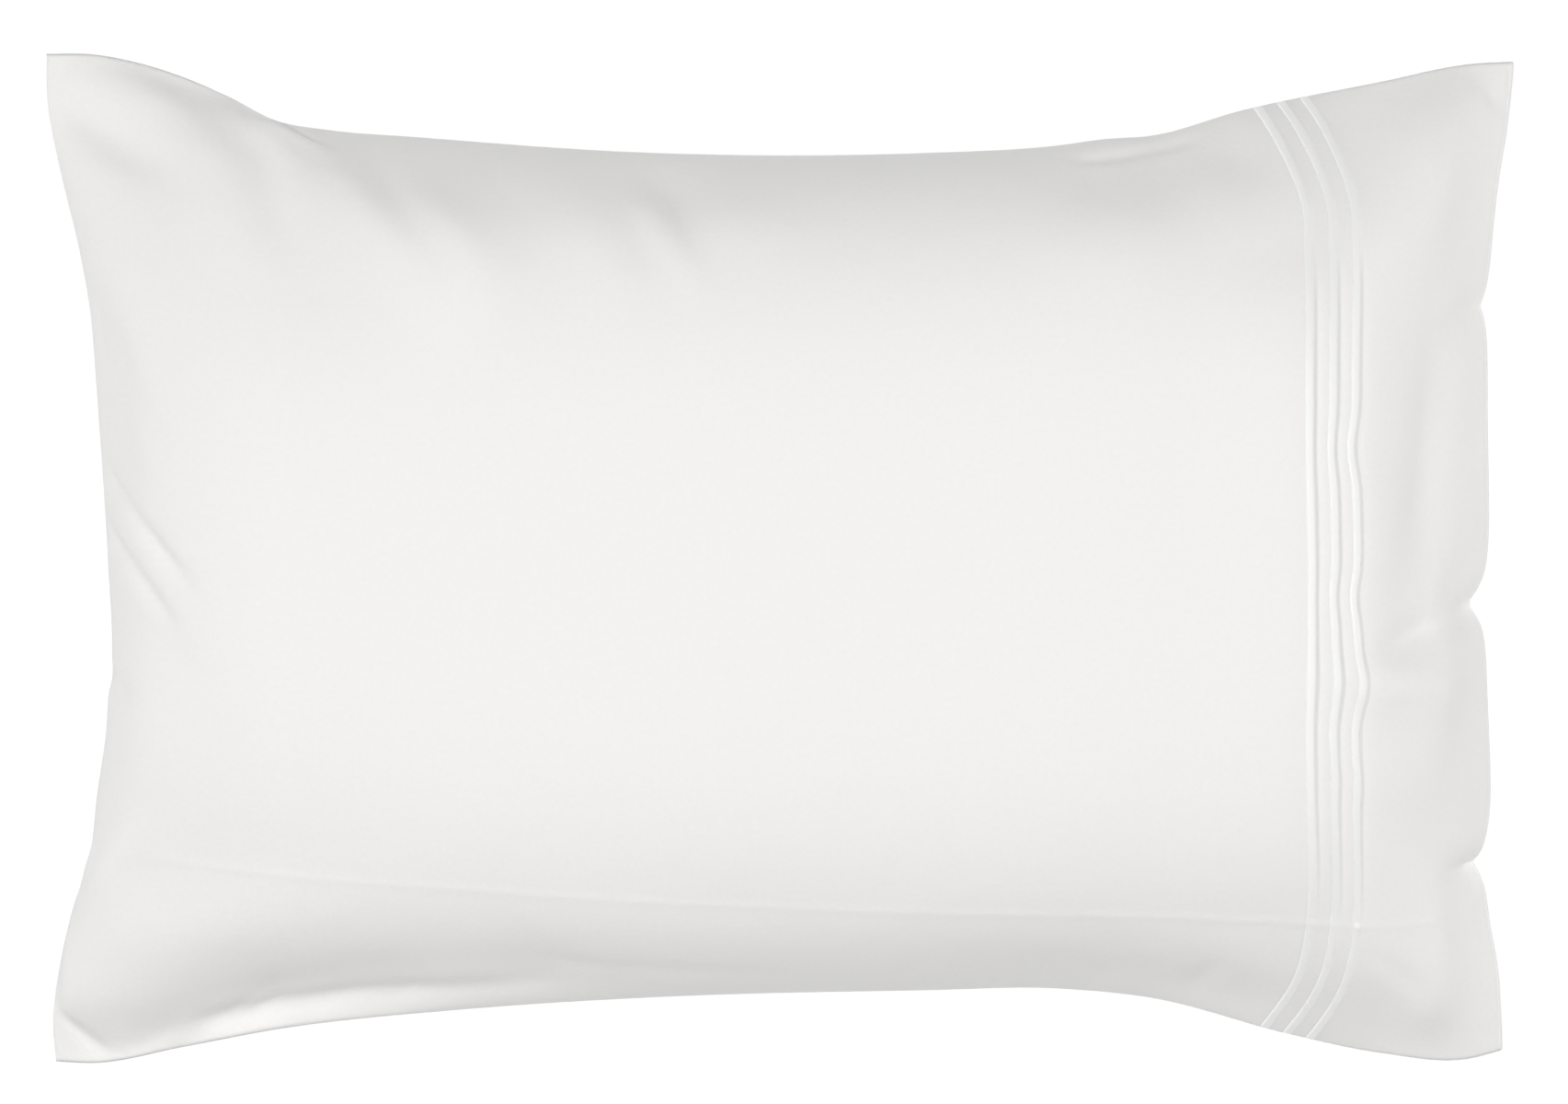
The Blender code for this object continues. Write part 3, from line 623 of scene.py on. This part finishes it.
print("deepest step in mm: %.1f" % (max(depth for _, depth in ROW_PULL) * 1e3))

# %% [markdown]
# ## The finished skin
#
# The pull of the stitches goes straight down, so that its steps keep their full width from above.
# The creases are pushed out along the cloth's own normal instead, so that they keep their depth
# on the steep sides. They fade out at the seams, which hold the cloth, and near the mouth they no
# longer push forward, so that the edge of the cuff keeps its line.

# %% Skin with its creases
SEAM_HOLD = 12  # the higher, the closer to the side seams creases reach
END_HOLD = 0.020  # cloth beside the closed end where creases fade
MOUTH_HOLD = (0.690, 0.740)  # along, where creases stop to push the cuff's edge outwards


def skin(along, across, side, lift=0.0, edge=1.0):
    """The finished front or back, moved out along its normal by lift."""
    pull = stitch_pull(along, across) if side > 0 else 0.0
    along = drifted(along, across)
    points = smooth_skin(along, across, side, edge)
    out = outward(along, across, side)
    points = points + out * (np.zeros_like(along) + lift)[..., None]
    points[..., 2] -= pull
    if side > 0:
        held = (1 - np.abs(across) ** SEAM_HOLD) * ease(0.0, END_HOLD, along)
        out[..., 0] *= 1 - ease(*MOUTH_HOLD, along)
        raised = crease_height(points[..., 0], points[..., 1]) * held
        points = points + out * raised[..., None]
    return points


print("a place of the cuff:", skin(np.array([0.7]), np.array([0.2]), 1)[0].round(4))

# %% [markdown]
# ## The bag as one grid
#
# The cloth is a closed grid of rings. Each ring runs from the lower side seam over the front to
# the upper seam, and back under the pillow. The rings start at the closed end, run to the mouth,
# turn over its edge and go back inside to the end of the pillow, so the mouth is really open.
#
# The rows of a ring are spaced evenly in cloth length, not in plan, so faces on the steep sides
# are as small as on top. The back shows little, so it has every second row. Columns lie closest
# at the steps beside the sewn rows and at the hem.

# %% Rows and columns of the grid
FRONT_ROWS = (
    # from, to, steps: cloth from the lower side seam to the upper one
    (0.000, 0.002, 2),
    (0.002, 0.110, 64),
    (0.110, 0.390, 72),
    (0.390, 0.498, 64),
    (0.498, 0.500, 2),
)
COLUMNS = (
    # from, to, steps: cloth from the closed end to the mouth
    (0.0000, 0.0016, 2),
    (0.0016, 0.1300, 74),
    (0.1300, 0.6100, 120),
    (0.6100, 0.6220, 7),
    (0.6220, 0.6256, 3),
    (0.6256, 0.6283, 6),
    (0.6283, 0.6340, 5),
    (0.6340, 0.6376, 3),
    (0.6376, 0.6403, 6),
    (0.6403, 0.6460, 5),
    (0.6460, 0.6496, 3),
    (0.6496, 0.6523, 6),
    (0.6523, 0.7450, 47),
    (0.7450, 0.7490, 8),
)
FINE_SAMPLES = 1201  # places where a section is measured


def places(spans):
    """All the places in a table of spans."""
    runs = [np.linspace(low, high, steps + 1) for low, high, steps in spans]
    return np.unique(np.round(np.concatenate(runs), 7))


def even_rows(along, side, cloth_places):
    """Across values whose cloth lies at the given places between the side seams."""
    turn = np.linspace(-1.0, 1.0, FINE_SAMPLES)
    across = np.sin(turn * np.pi / 2)
    points = smooth_skin(np.full(FINE_SAMPLES, along), across, side)
    steps = np.linalg.norm(np.diff(points, axis=0), axis=1)
    lengths = np.concatenate([[0.0], np.cumsum(steps)])
    wanted = cloth_places / CASE_WIDTH * lengths[-1]
    return np.clip(np.interp(wanted, lengths, across), -1.0, 1.0), lengths[-1]


columns = places(COLUMNS)
front_places = places(FRONT_ROWS)
back_places = front_places[::2]
front_across, front_lengths = zip(*[even_rows(along, 1, front_places) for along in columns])
back_across, _ = zip(*[even_rows(along, -1, back_places) for along in columns])
front_across = np.array(front_across)
back_across = np.array(back_across)
print("columns", len(columns), "front rows", len(front_places), "back rows", len(back_places))
shortest, longest = min(front_lengths) * 1e3, max(front_lengths) * 1e3
print("front cloth across in mm: %.0f to %.0f" % (shortest, longest))

# %% [markdown]
# ## The open mouth
#
# The cuff is a deep fold, so its edge is a soft half-round and not a cut. Inside it the cloth
# runs back to the round end of the pillow. The rings after the fold carry two numbers: how far
# back they lie, and their level between the two layers, from 1 at the cloth to 0 halfway between
# them.

# %% Rings of the fold and of the inside
CLOTH = 0.002  # one layer with its air and its hem turn
FOLD_RADIUS = CLOTH / 2
FOLD_TURNS = (0.25, 0.5, 0.75, 1.0)  # shares of the half-round
MOUTH_SIDE = 0.985  # across, where the side seams close the inside
SIDE_CLOSE = 24  # the higher, the later the two layers meet at the side seams
HOLLOW_START = 0.678  # along, where the end of the pillow meets the cloth
HOLLOW_BULGE = 0.014  # how far the pillow's end bulges towards the mouth
HOLLOW_ROUND = 4  # the higher, the flatter that bulge is across
INSIDE_PLACES = (0.745, 0.738, 0.728, 0.716, 0.704, 0.692, 0.684, 0.678)
PILLOW_LEVELS = (0.85, 0.65, 0.4, 0.15)
LIP = 0.0016  # cloth over which the sewn edge reaches its full height


def inside_points(along, across, level):
    """A ring inside the mouth, from one layer (level 1 or -1) towards the middle of the hollow."""
    inner = across * MOUTH_SIDE
    front = skin(along, inner, 1, -CLOTH)
    back = skin(along, inner, -1, -CLOTH)
    share = 0.5 + level / 2 * (1 - np.abs(across) ** SIDE_CLOSE)[..., None]
    points = between(back, front, share)
    points[..., 0] += HOLLOW_BULGE * (1 - level**2) * (1 - across**HOLLOW_ROUND)
    return points


def last_along(values, along):
    """Rows of the last column, asked for at another distance along."""
    return np.full(len(values), along), values


front_mouth = front_across[-1]
back_mouth = back_across[-1]


def fold_points(turn, across, side, edge):
    """A ring of the half-round fold: turn 0 is the outer cloth and 1 the inner."""
    along = CASE_LENGTH - FOLD_RADIUS * (1 - np.sin(turn * np.pi))
    share = (1 - np.cos(turn * np.pi)) / 2
    outer = skin(*last_along(across, along), side, edge=edge)
    return between(outer, inside_points(*last_along(across, along), side), share)


def lip(distance):
    """Quarter-round of the sewn edge: 0 on it, 1 from LIP away."""
    return np.sqrt(np.clip(1 - (1 - np.clip(distance / LIP, 0.0, 1.0)) ** 2, 0.0, 1.0))


front_edge = lip(np.minimum(front_places, CASE_WIDTH - front_places))
back_edge = lip(np.minimum(back_places, CASE_WIDTH - back_places))
mouth_rings = []
for turn in FOLD_TURNS:
    mouth_rings.append(
        (
            fold_points(turn, front_mouth, 1, front_edge),
            fold_points(turn, back_mouth, -1, back_edge),
        )
    )
for along in INSIDE_PLACES:
    mouth_rings.append(
        (
            inside_points(*last_along(front_mouth, along), 1),
            inside_points(*last_along(back_mouth, along), -1),
        )
    )
for level in PILLOW_LEVELS:
    mouth_rings.append(
        (
            inside_points(*last_along(front_mouth, HOLLOW_START), level),
            inside_points(*last_along(back_mouth, HOLLOW_START), -level),
        )
    )
print("rings of the fold and the inside:", len(mouth_rings))

# %% [markdown]
# ## The outer cloth
#
# Now the skin is worked out at each row and column. The last column, at 749 mm, stops short of
# the mouth by the radius of its fold.

# %% Outer rings
CLOSED_EDGE = 0.0001  # keeps a thin strip between both layers at the closed end


def outer_points(across, cloth_places, side):
    """The outer skin of one side at every column and row."""
    along = np.repeat(columns[:, None], len(cloth_places), axis=1)
    from_side = np.minimum(cloth_places, CASE_WIDTH - cloth_places)
    edge = lip(np.minimum(from_side[None, :], np.maximum(along, CLOSED_EDGE)))
    return skin(along, across, side, edge=edge)


outer_front = outer_points(front_across, front_places, 1)
outer_back = outer_points(back_across, back_places, -1)
print("highest point in mm: %.1f" % (outer_front[..., 2].max() * 1e3))

# %% [markdown]
# ## From rings to a mesh
#
# One helper joins any set of rings into a closed mesh: quads between neighbouring rings, and a
# strip that closes the first and the last one. Because the back has half as many rows, a face of
# that strip has five sides.

# %% Ring mesh
def closing_strip(front, back, facing_back):
    """Faces between the two layers of one ring."""
    faces = []
    for number in range(len(back) - 1):
        corners = [back[number], *front[2 * number : 2 * number + 3], back[number + 1]]
        corners = list(dict.fromkeys(corners))
        faces.append(corners if facing_back else corners[::-1])
    return faces


def ring_mesh(name, rings):
    """A closed mesh through rings of (front points, back points)."""
    front_count = len(rings[0][0])
    back_count = len(rings[0][1])
    ring_size = front_count + back_count - 2
    points = np.concatenate([np.concatenate([front, back[1:-1]]) for front, back in rings])
    front_index = np.arange(front_count)
    back_index = np.concatenate([[0], front_count + np.arange(back_count - 2), [front_count - 1]])
    faces = []
    for ring in range(len(rings) - 1):
        here = ring * ring_size
        there = here + ring_size
        for index in range(front_count - 1):
            low, high = front_index[index], front_index[index + 1]
            faces.append((here + low, there + low, there + high, here + high))
        for index in range(back_count - 1):
            low, high = back_index[index], back_index[index + 1]
            faces.append((here + low, here + high, there + high, there + low))
    last = (len(rings) - 1) * ring_size
    faces += closing_strip(list(front_index), list(back_index), True)
    faces += closing_strip(list(last + front_index), list(last + back_index), False)
    mesh = bpy.data.meshes.new(name)
    mesh.from_pydata(points.tolist(), [], [[int(corner) for corner in face] for face in faces])
    mesh.update()
    made = bpy.data.objects.new(name, mesh)
    bpy.context.scene.collection.objects.link(made)
    return made


rings = [(front, back) for front, back in zip(outer_front, outer_back)] + mouth_rings
case = ring_mesh("pillowcase_cloth", rings)
case.data.shade_smooth()
print("faces", len(case.data.polygons), "points", len(case.data.vertices))

# %% [markdown]
# ## Flat cloth as the UV map
#
# A weave runs along and across the cloth wherever the cloth goes, so the material needs to know
# where each point lies on the flat cut. Unwrapping by hand would guess at that. The rows and
# columns already say it, so they are written straight into a UV map, in metres of cloth.

# %% UV map in metres of cloth
def write_uv(made, name, points, seam_turn=None):
    """Give each corner its vertex's flat place. V=0 reads seam_turn on the far side of a ring."""
    layer = made.data.uv_layers.new(name=name)
    corners = np.empty(len(made.data.loops), np.int32)
    made.data.loops.foreach_get("vertex_index", corners)
    flat = np.array(points)[corners]
    if seam_turn is not None:
        sizes = np.empty(len(made.data.polygons), np.int32)
        made.data.polygons.foreach_get("loop_total", sizes)
        face_of = np.repeat(np.arange(len(sizes)), sizes)
        highest = np.zeros(len(sizes))
        np.maximum.at(highest, face_of, flat[:, 1])
        wraps = (flat[:, 1] == 0.0) & (highest[face_of] > seam_turn / 2)
        flat[wraps, 1] = seam_turn
    layer.data.foreach_set("uv", flat.astype(np.float32).ravel())


PILLOW_STEP = 0.01  # cloth between the rings of the pillow's end
around_places = np.concatenate([front_places, 2 * CASE_WIDTH - back_places[1:-1]])
fold_alongs = [CASE_LENGTH + FOLD_RADIUS * np.pi * (turn - 0.5) for turn in FOLD_TURNS]
inside_alongs = [2 * CASE_LENGTH - along for along in INSIDE_PLACES]
pillow_steps = PILLOW_STEP * np.arange(1, len(PILLOW_LEVELS) + 1)
pillow_alongs = inside_alongs[-1] + pillow_steps
ring_alongs = [*columns, *fold_alongs, *inside_alongs, *pillow_alongs]
flat_alongs = np.repeat(ring_alongs, len(around_places))
flat_arounds = np.tile(around_places, len(ring_alongs))
write_uv(case, "flat_cloth", np.column_stack([flat_alongs, flat_arounds]), 2 * CASE_WIDTH)
print("UV map holds", len(case.data.uv_layers["flat_cloth"].data), "corners")

# %% [markdown]
# ## Three rows of satin stitch
#
# Satin stitch is thread laid side by side straight across a narrow band, packed so tightly that
# it stands up as a rounded cord. It could be a bevelled curve, but then the stitches would be
# only a picture. Here each stitch is a small ridge of its own: three cuts per stitch, and ends
# that are a tenth of a millimetre uneven, as a machine leaves them. Real stitches lie 0.4 mm
# apart and are drawn at 0.6 mm, so that they show.
#
# The band sits a little way into the cloth, because the thread pulls its edges down.

# %% Satin rows
ROW_HALF_WIDTH = 0.0021
ROW_DOME = 0.0007
ROW_SINK = 0.0001
ROW_BURIED = 0.0007  # how deep the hidden underside lies in the cloth
ROW_PROFILE = (
    # share of the half width (towards the mouth), share of the dome
    (-1.00, 0.00),
    (-0.93, 0.55),
    (-0.75, 0.85),
    (-0.40, 1.00),
    (0.00, 1.00),
    (0.25, 1.00),
    (0.50, 0.95),
    (0.75, 0.80),
    (0.93, 0.50),
    (1.00, 0.00),
)
ROW_UNDER = (-0.7, 0.0, 0.7)
ROW_MARGIN = 0.0012  # cloth between the ends of a row and the side seams
STITCH = 0.0006  # drawn wider than the real 0.4 mm
STITCH_CUTS = 3
STITCH_RELIEF = (0.0, 1.0, 0.75)  # one stitch: the gap, its crest, its far side
STITCH_HEIGHT = 0.00010
STITCH_UNEVEN = 0.00006
RELIEF_HOLD = 6  # the higher, the closer to the band's edges its relief reaches
draw = np.random.default_rng(11)  # the same unevenness each time


def satin_row(number, place):
    """One band of stitches from the lower to the upper side seam."""
    stitches = int((CASE_WIDTH - 2 * ROW_MARGIN) / STITCH)
    cuts = stitches * STITCH_CUTS
    runs = ROW_MARGIN + np.arange(cuts) * STITCH / STITCH_CUTS
    across, _ = even_rows(place, 1, runs)
    relief = np.tile(STITCH_RELIEF, stitches) * STITCH_HEIGHT
    uneven = np.repeat(draw.normal(0.0, STITCH_UNEVEN, (stitches, 2)), STITCH_CUTS, axis=0)
    tops = []
    unders = []
    for share, dome in reversed(ROW_PROFILE):
        off = share * ROW_HALF_WIDTH + np.where(share > 0, uneven[:, 0], uneven[:, 1]) * abs(share)
        lift = ROW_DOME * dome - ROW_SINK + relief * (1 - abs(share) ** RELIEF_HOLD)
        tops.append(skin(place + off, across, 1, lift))
    for share in reversed(ROW_UNDER):
        off = np.full(cuts, share * ROW_HALF_WIDTH)
        unders.append(skin(place + off, across, 1, -ROW_BURIED))
    tops = np.stack(tops, axis=1)
    unders = np.concatenate([tops[:, :1], np.stack(unders, axis=1), tops[:, -1:]], axis=1)
    row = ring_mesh(f"satin_row_{number}", list(zip(tops, unders)))
    row.data.shade_smooth()
    tops_at = [share for share, _ in reversed(ROW_PROFILE)]
    shares = np.array([*tops_at, *reversed(ROW_UNDER)]) * ROW_HALF_WIDTH
    flat = np.column_stack([np.tile(shares, cuts), np.repeat(runs, len(shares))])
    write_uv(row, "stitches", flat)
    return row


satin_rows = [satin_row(number, place) for number, place in enumerate(ROW_PLACES, start=1)]
print("faces of one row:", len(satin_rows[0].data.polygons))

# %% [markdown]
# ## Colours and one node helper
#
# Cloth colours are picked as sRGB hex values, as on a screen, and shaders want linear light, so
# one function turns them. One more adds a node with its settings and links.

# %% Colour and node helpers
def linear(hex_colour):
    """sRGB hex to linear RGBA."""
    srgb = [int(hex_colour[start : start + 2], 16) / 255 for start in (1, 3, 5)]
    return [c / 12.92 if c <= 0.04045 else ((c + 0.055) / 1.055) ** 2.4 for c in srgb] + [1.0]


def add(material, kind, inputs=None, **settings):
    """Add a node. An input is a value, or (node, output) to link it."""
    tree = material.node_tree
    node = tree.nodes.new(kind)
    for key, value in settings.items():
        setattr(node, key, value)
    for key, value in (inputs or {}).items():
        if isinstance(value, tuple) and isinstance(value[0], bpy.types.Node):
            tree.links.new(value[0].outputs[value[1]], node.inputs[key])
        else:
            node.inputs[key].default_value = value
    return node


def new_material(name):
    """An empty node material with its output."""
    material = bpy.data.materials.new(name)
    material.use_nodes = True
    material.node_tree.nodes.clear()
    output = material.node_tree.nodes.new("ShaderNodeOutputMaterial")
    return material, output


print("a mid grey in linear light: %.3f" % linear("#808080")[0])

# %% [markdown]
# ## Cotton percale
#
# Percale is a plain weave of fine combed cotton, bleached white and pressed. The eye sees a matt
# surface with a faint soft sheen where it turns away, no gloss, and a weave so fine that it only
# softens the light. Real threads lie about 0.25 mm apart. They are drawn at 0.5 mm, because
# closer ones would vanish in the render and sparkle.
#
# An image of cloth would show its edges and its own light. So the weave is worked out: one sine
# along each direction of the flat cloth, multiplied, is a round bump wherever a thread crosses
# over another. Noise adds the slubs of a natural fibre, and a broader noise is the unevenness
# that the iron leaves.

# %% Cotton percale
THREAD = 0.0005  # drawn at twice the real spacing
SLUB = 0.0024  # length of the thicker places in a thread
PRESSED = 0.024  # width of the unevenness left by the iron


def make_percale():
    material, output = new_material("white_cotton_percale")
    cloth = add(material, "ShaderNodeUVMap", uv_map="flat_cloth")
    threads = add(
        material, "ShaderNodeVectorMath", {0: (cloth, "UV"), 3: 1 / THREAD}, operation="SCALE"
    )
    parts = add(material, "ShaderNodeSeparateXYZ", {0: (threads, "Vector")})
    rounds = []
    for axis in ("X", "Y"):
        turn = add(material, "ShaderNodeMath", {0: (parts, axis), 1: np.pi}, operation="MULTIPLY")
        rounds.append(add(material, "ShaderNodeMath", {0: (turn, "Value")}, operation="SINE"))
    crossing = add(
        material,
        "ShaderNodeMath",
        {0: (rounds[0], "Value"), 1: (rounds[1], "Value")},
        operation="MULTIPLY",
    )
    # The sign only says which thread lies on top, so it is dropped.
    weave = add(material, "ShaderNodeMath", {0: (crossing, "Value")}, operation="ABSOLUTE")
    slubs = add(
        material,
        "ShaderNodeTexNoise",
        {"Vector": (cloth, "UV"), "Scale": 1 / SLUB, "Detail": 2.0, "Roughness": 0.5},
    )
    pressing = add(
        material,
        "ShaderNodeTexNoise",
        {"Vector": (cloth, "UV"), "Scale": 1 / PRESSED, "Detail": 3.0, "Roughness": 0.55},
    )
    weave_bump = add(
        material,
        "ShaderNodeBump",
        {"Height": (weave, "Value"), "Distance": 0.00006, "Strength": 0.35},
    )
    slub_bump = add(
        material,
        "ShaderNodeBump",
        {
            "Height": (slubs, "Fac"),
            "Distance": 0.0002,
            "Strength": 0.35,
            "Normal": (weave_bump, "Normal"),
        },
    )
    bump = add(
        material,
        "ShaderNodeBump",
        {
            "Height": (pressing, "Fac"),
            "Distance": 0.0012,
            "Strength": 0.5,
            "Normal": (slub_bump, "Normal"),
        },
    )
    tint = add(
        material,
        "ShaderNodeMix",
        {"Factor": (slubs, "Fac"), "A": linear("#F0EFEE"), "B": linear("#F5F4F3")},
        data_type="RGBA",
    )
    rough = add(
        material,
        "ShaderNodeMapRange",
        {"Value": (slubs, "Fac"), "To Min": 0.82, "To Max": 0.94},
    )
    shader = add(
        material,
        "ShaderNodeBsdfPrincipled",
        {
            "Base Color": (tint, "Result"),
            "Roughness": (rough, "Result"),
            "Normal": (bump, "Normal"),
            "IOR": 1.47,
            "Specular IOR Level": 0.35,
            "Sheen Weight": 0.25,
            "Sheen Roughness": 0.45,
            "Sheen Tint": linear("#FFFFFF"),
        },
    )
    material.node_tree.links.new(shader.outputs["BSDF"], output.inputs["Surface"])
    return material


percale = make_percale()
case.data.materials.append(percale)
print("material:", percale.name, "with", len(percale.node_tree.nodes), "nodes")

# %% [markdown]
# ## Satin stitch thread
#
# Machine embroidery thread is trilobal polyester: smooth bright filaments with a silky gloss,
# which is why the rows flash brighter than the cotton where they face the light. A plain glossy
# shader would give a round highlight. Parallel fibres draw it out, so the gloss is anisotropic
# and takes its direction from the stitches' own UV map. Thin fibre lines break it up, and some
# sheen stands for the loose hairs.

# %% Thread
FIBRE_LENGTH = 0.0042  # as long as a stitch
FIBRE_WIDTH = 0.0001  # drawn coarser than real filaments, which are 0.02 mm thick


def make_thread():
    material, output = new_material("white_satin_stitch_thread")
    laid = add(material, "ShaderNodeUVMap", uv_map="stitches")
    stretched = add(
        material,
        "ShaderNodeVectorMath",
        {0: (laid, "UV"), 1: (1 / FIBRE_LENGTH, 1 / FIBRE_WIDTH, 1.0)},
        operation="MULTIPLY",
    )
    fibres = add(
        material,
        "ShaderNodeTexNoise",
        {"Vector": (stretched, "Vector"), "Scale": 1.0, "Detail": 2.0},
    )
    bump = add(
        material,
        "ShaderNodeBump",
        {"Height": (fibres, "Fac"), "Distance": 0.00008, "Strength": 0.5},
    )
    tint = add(
        material,
        "ShaderNodeMix",
        {"Factor": (fibres, "Fac"), "A": linear("#F5F5F4"), "B": linear("#FCFCFB")},
        data_type="RGBA",
    )
    rough = add(
        material, "ShaderNodeMapRange", {"Value": (fibres, "Fac"), "To Min": 0.45, "To Max": 0.6}
    )
    along_thread = add(
        material, "ShaderNodeTangent", direction_type="UV_MAP", uv_map="stitches"
    )
    shader = add(
        material,
        "ShaderNodeBsdfPrincipled",
        {
            "Base Color": (tint, "Result"),
            "Roughness": (rough, "Result"),
            "Normal": (bump, "Normal"),
            "Tangent": (along_thread, "Tangent"),
            "Anisotropic": 0.85,
            "IOR": 1.57,
            "Sheen Weight": 1.0,
            "Sheen Roughness": 0.4,
        },
    )
    material.node_tree.links.new(shader.outputs["BSDF"], output.inputs["Surface"])
    return material


thread = make_thread()
for row in satin_rows:
    row.data.materials.append(thread)
print("material:", thread.name)

# %% [markdown]
# ## The floor
#
# The floor is a pale table that is lit from below, as for many product pictures. Its own light
# drowns the shadows, and it comes out brighter than the cloth, so the case stands out as soft
# grey edges on white. A plain white floor would need far more light and would show a shadow.

# %% Floor
FLOOR_SIZE = 30.0
FLOOR_DROP = 0.0005  # keeps the back of the case from lying in the very same plane


def light_table():
    bpy.ops.mesh.primitive_plane_add(size=FLOOR_SIZE)
    floor = bpy.context.object
    floor.name = "light_table"
    material, output = new_material("backlit_white_table")
    shader = add(
        material,
        "ShaderNodeBsdfPrincipled",
        {
            "Base Color": linear("#A8A8A8"),
            "Roughness": 0.9,
            "Specular IOR Level": 0.2,
            "Emission Color": linear("#FFFFFF"),
            "Emission Strength": 0.72,
        },
    )
    material.node_tree.links.new(shader.outputs["BSDF"], output.inputs["Surface"])
    floor.data.materials.append(material)
    return floor


floor = light_table()
floor.location.z = -FLOOR_DROP
print("floor:", floor.name)

# %% [markdown]
# ## The lights
#
# The photograph is bright and almost free of shadow: one large soft light above the cloth, and
# weaker ones from the left and right that lift the steep ends. A single bright sky would light
# every slope alike and hide the folds, so the world itself stays dark.

# %% Lights
LIGHTS = (
    # name, place, aimed at, size, watts
    ("front_softbox", (0.0, 0.0, 5.0), (0.0, 0.0, 0.0), 1.2, 195.0),
    ("left_fill", (-3.2, 0.0, 1.6), (0.0, 0.0, 0.08), 1.6, 31.0),
    ("right_fill", (3.2, 0.0, 1.6), (0.0, 0.0, 0.08), 1.6, 26.0),
)
WORLD_LIGHT = 0.0  # only the lamps and the floor give light


def aim(thing, target):
    """Point a light or camera along its own -Z at a place."""
    way = Vector(target) - thing.location
    thing.rotation_euler = way.to_track_quat("-Z", "Y").to_euler()


for name, place, target, size, watts in LIGHTS:
    lamp = bpy.data.lights.new(name, "AREA")
    lamp.shape = "SQUARE"
    lamp.size = size
    lamp.energy = watts
    light = bpy.data.objects.new(name, lamp)
    light.location = place
    bpy.context.scene.collection.objects.link(light)
    aim(light, target)

world = bpy.data.worlds.new("studio")
world.use_nodes = True
world.node_tree.nodes["Background"].inputs["Strength"].default_value = WORLD_LIGHT
bpy.context.scene.world = world
print("lights:", [name for name, *_ in LIGHTS])

# %% [markdown]
# ## The camera
#
# The camera looks straight down. It stands far away with a long lens, because the outline was
# measured as if all of it lay in one plane.

# %% Camera
PICTURE_WIDTH = 0.7707  # metres across the picture at the height of the side seams
OUTLINE_HEIGHT = 0.070
CAMERA_HEIGHT = 10.0
CAMERA_PLACE = (0.0020, 0.0032)
SENSOR = 36.0

camera_data = bpy.data.cameras.new("photo_camera")
camera_data.sensor_width = SENSOR
camera_data.lens = SENSOR * (CAMERA_HEIGHT - OUTLINE_HEIGHT) / PICTURE_WIDTH
camera_data.clip_end = 100.0
camera = bpy.data.objects.new("photo_camera", camera_data)
camera.location = (*CAMERA_PLACE, CAMERA_HEIGHT)
bpy.context.scene.collection.objects.link(camera)
bpy.context.scene.camera = camera
bpy.context.scene.view_settings.view_transform = "Standard"
print("lens in mm: %.0f" % camera_data.lens)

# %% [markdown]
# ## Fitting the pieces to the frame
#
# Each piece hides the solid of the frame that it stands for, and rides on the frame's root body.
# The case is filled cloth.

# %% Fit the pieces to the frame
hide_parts("pillowcase")
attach(case, "root")
for number, row in enumerate(satin_rows, start=1):
    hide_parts(f"stitched_row_{number}")
    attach(row, "root")
print("pieces:", [case.name, *[row.name for row in satin_rows]])
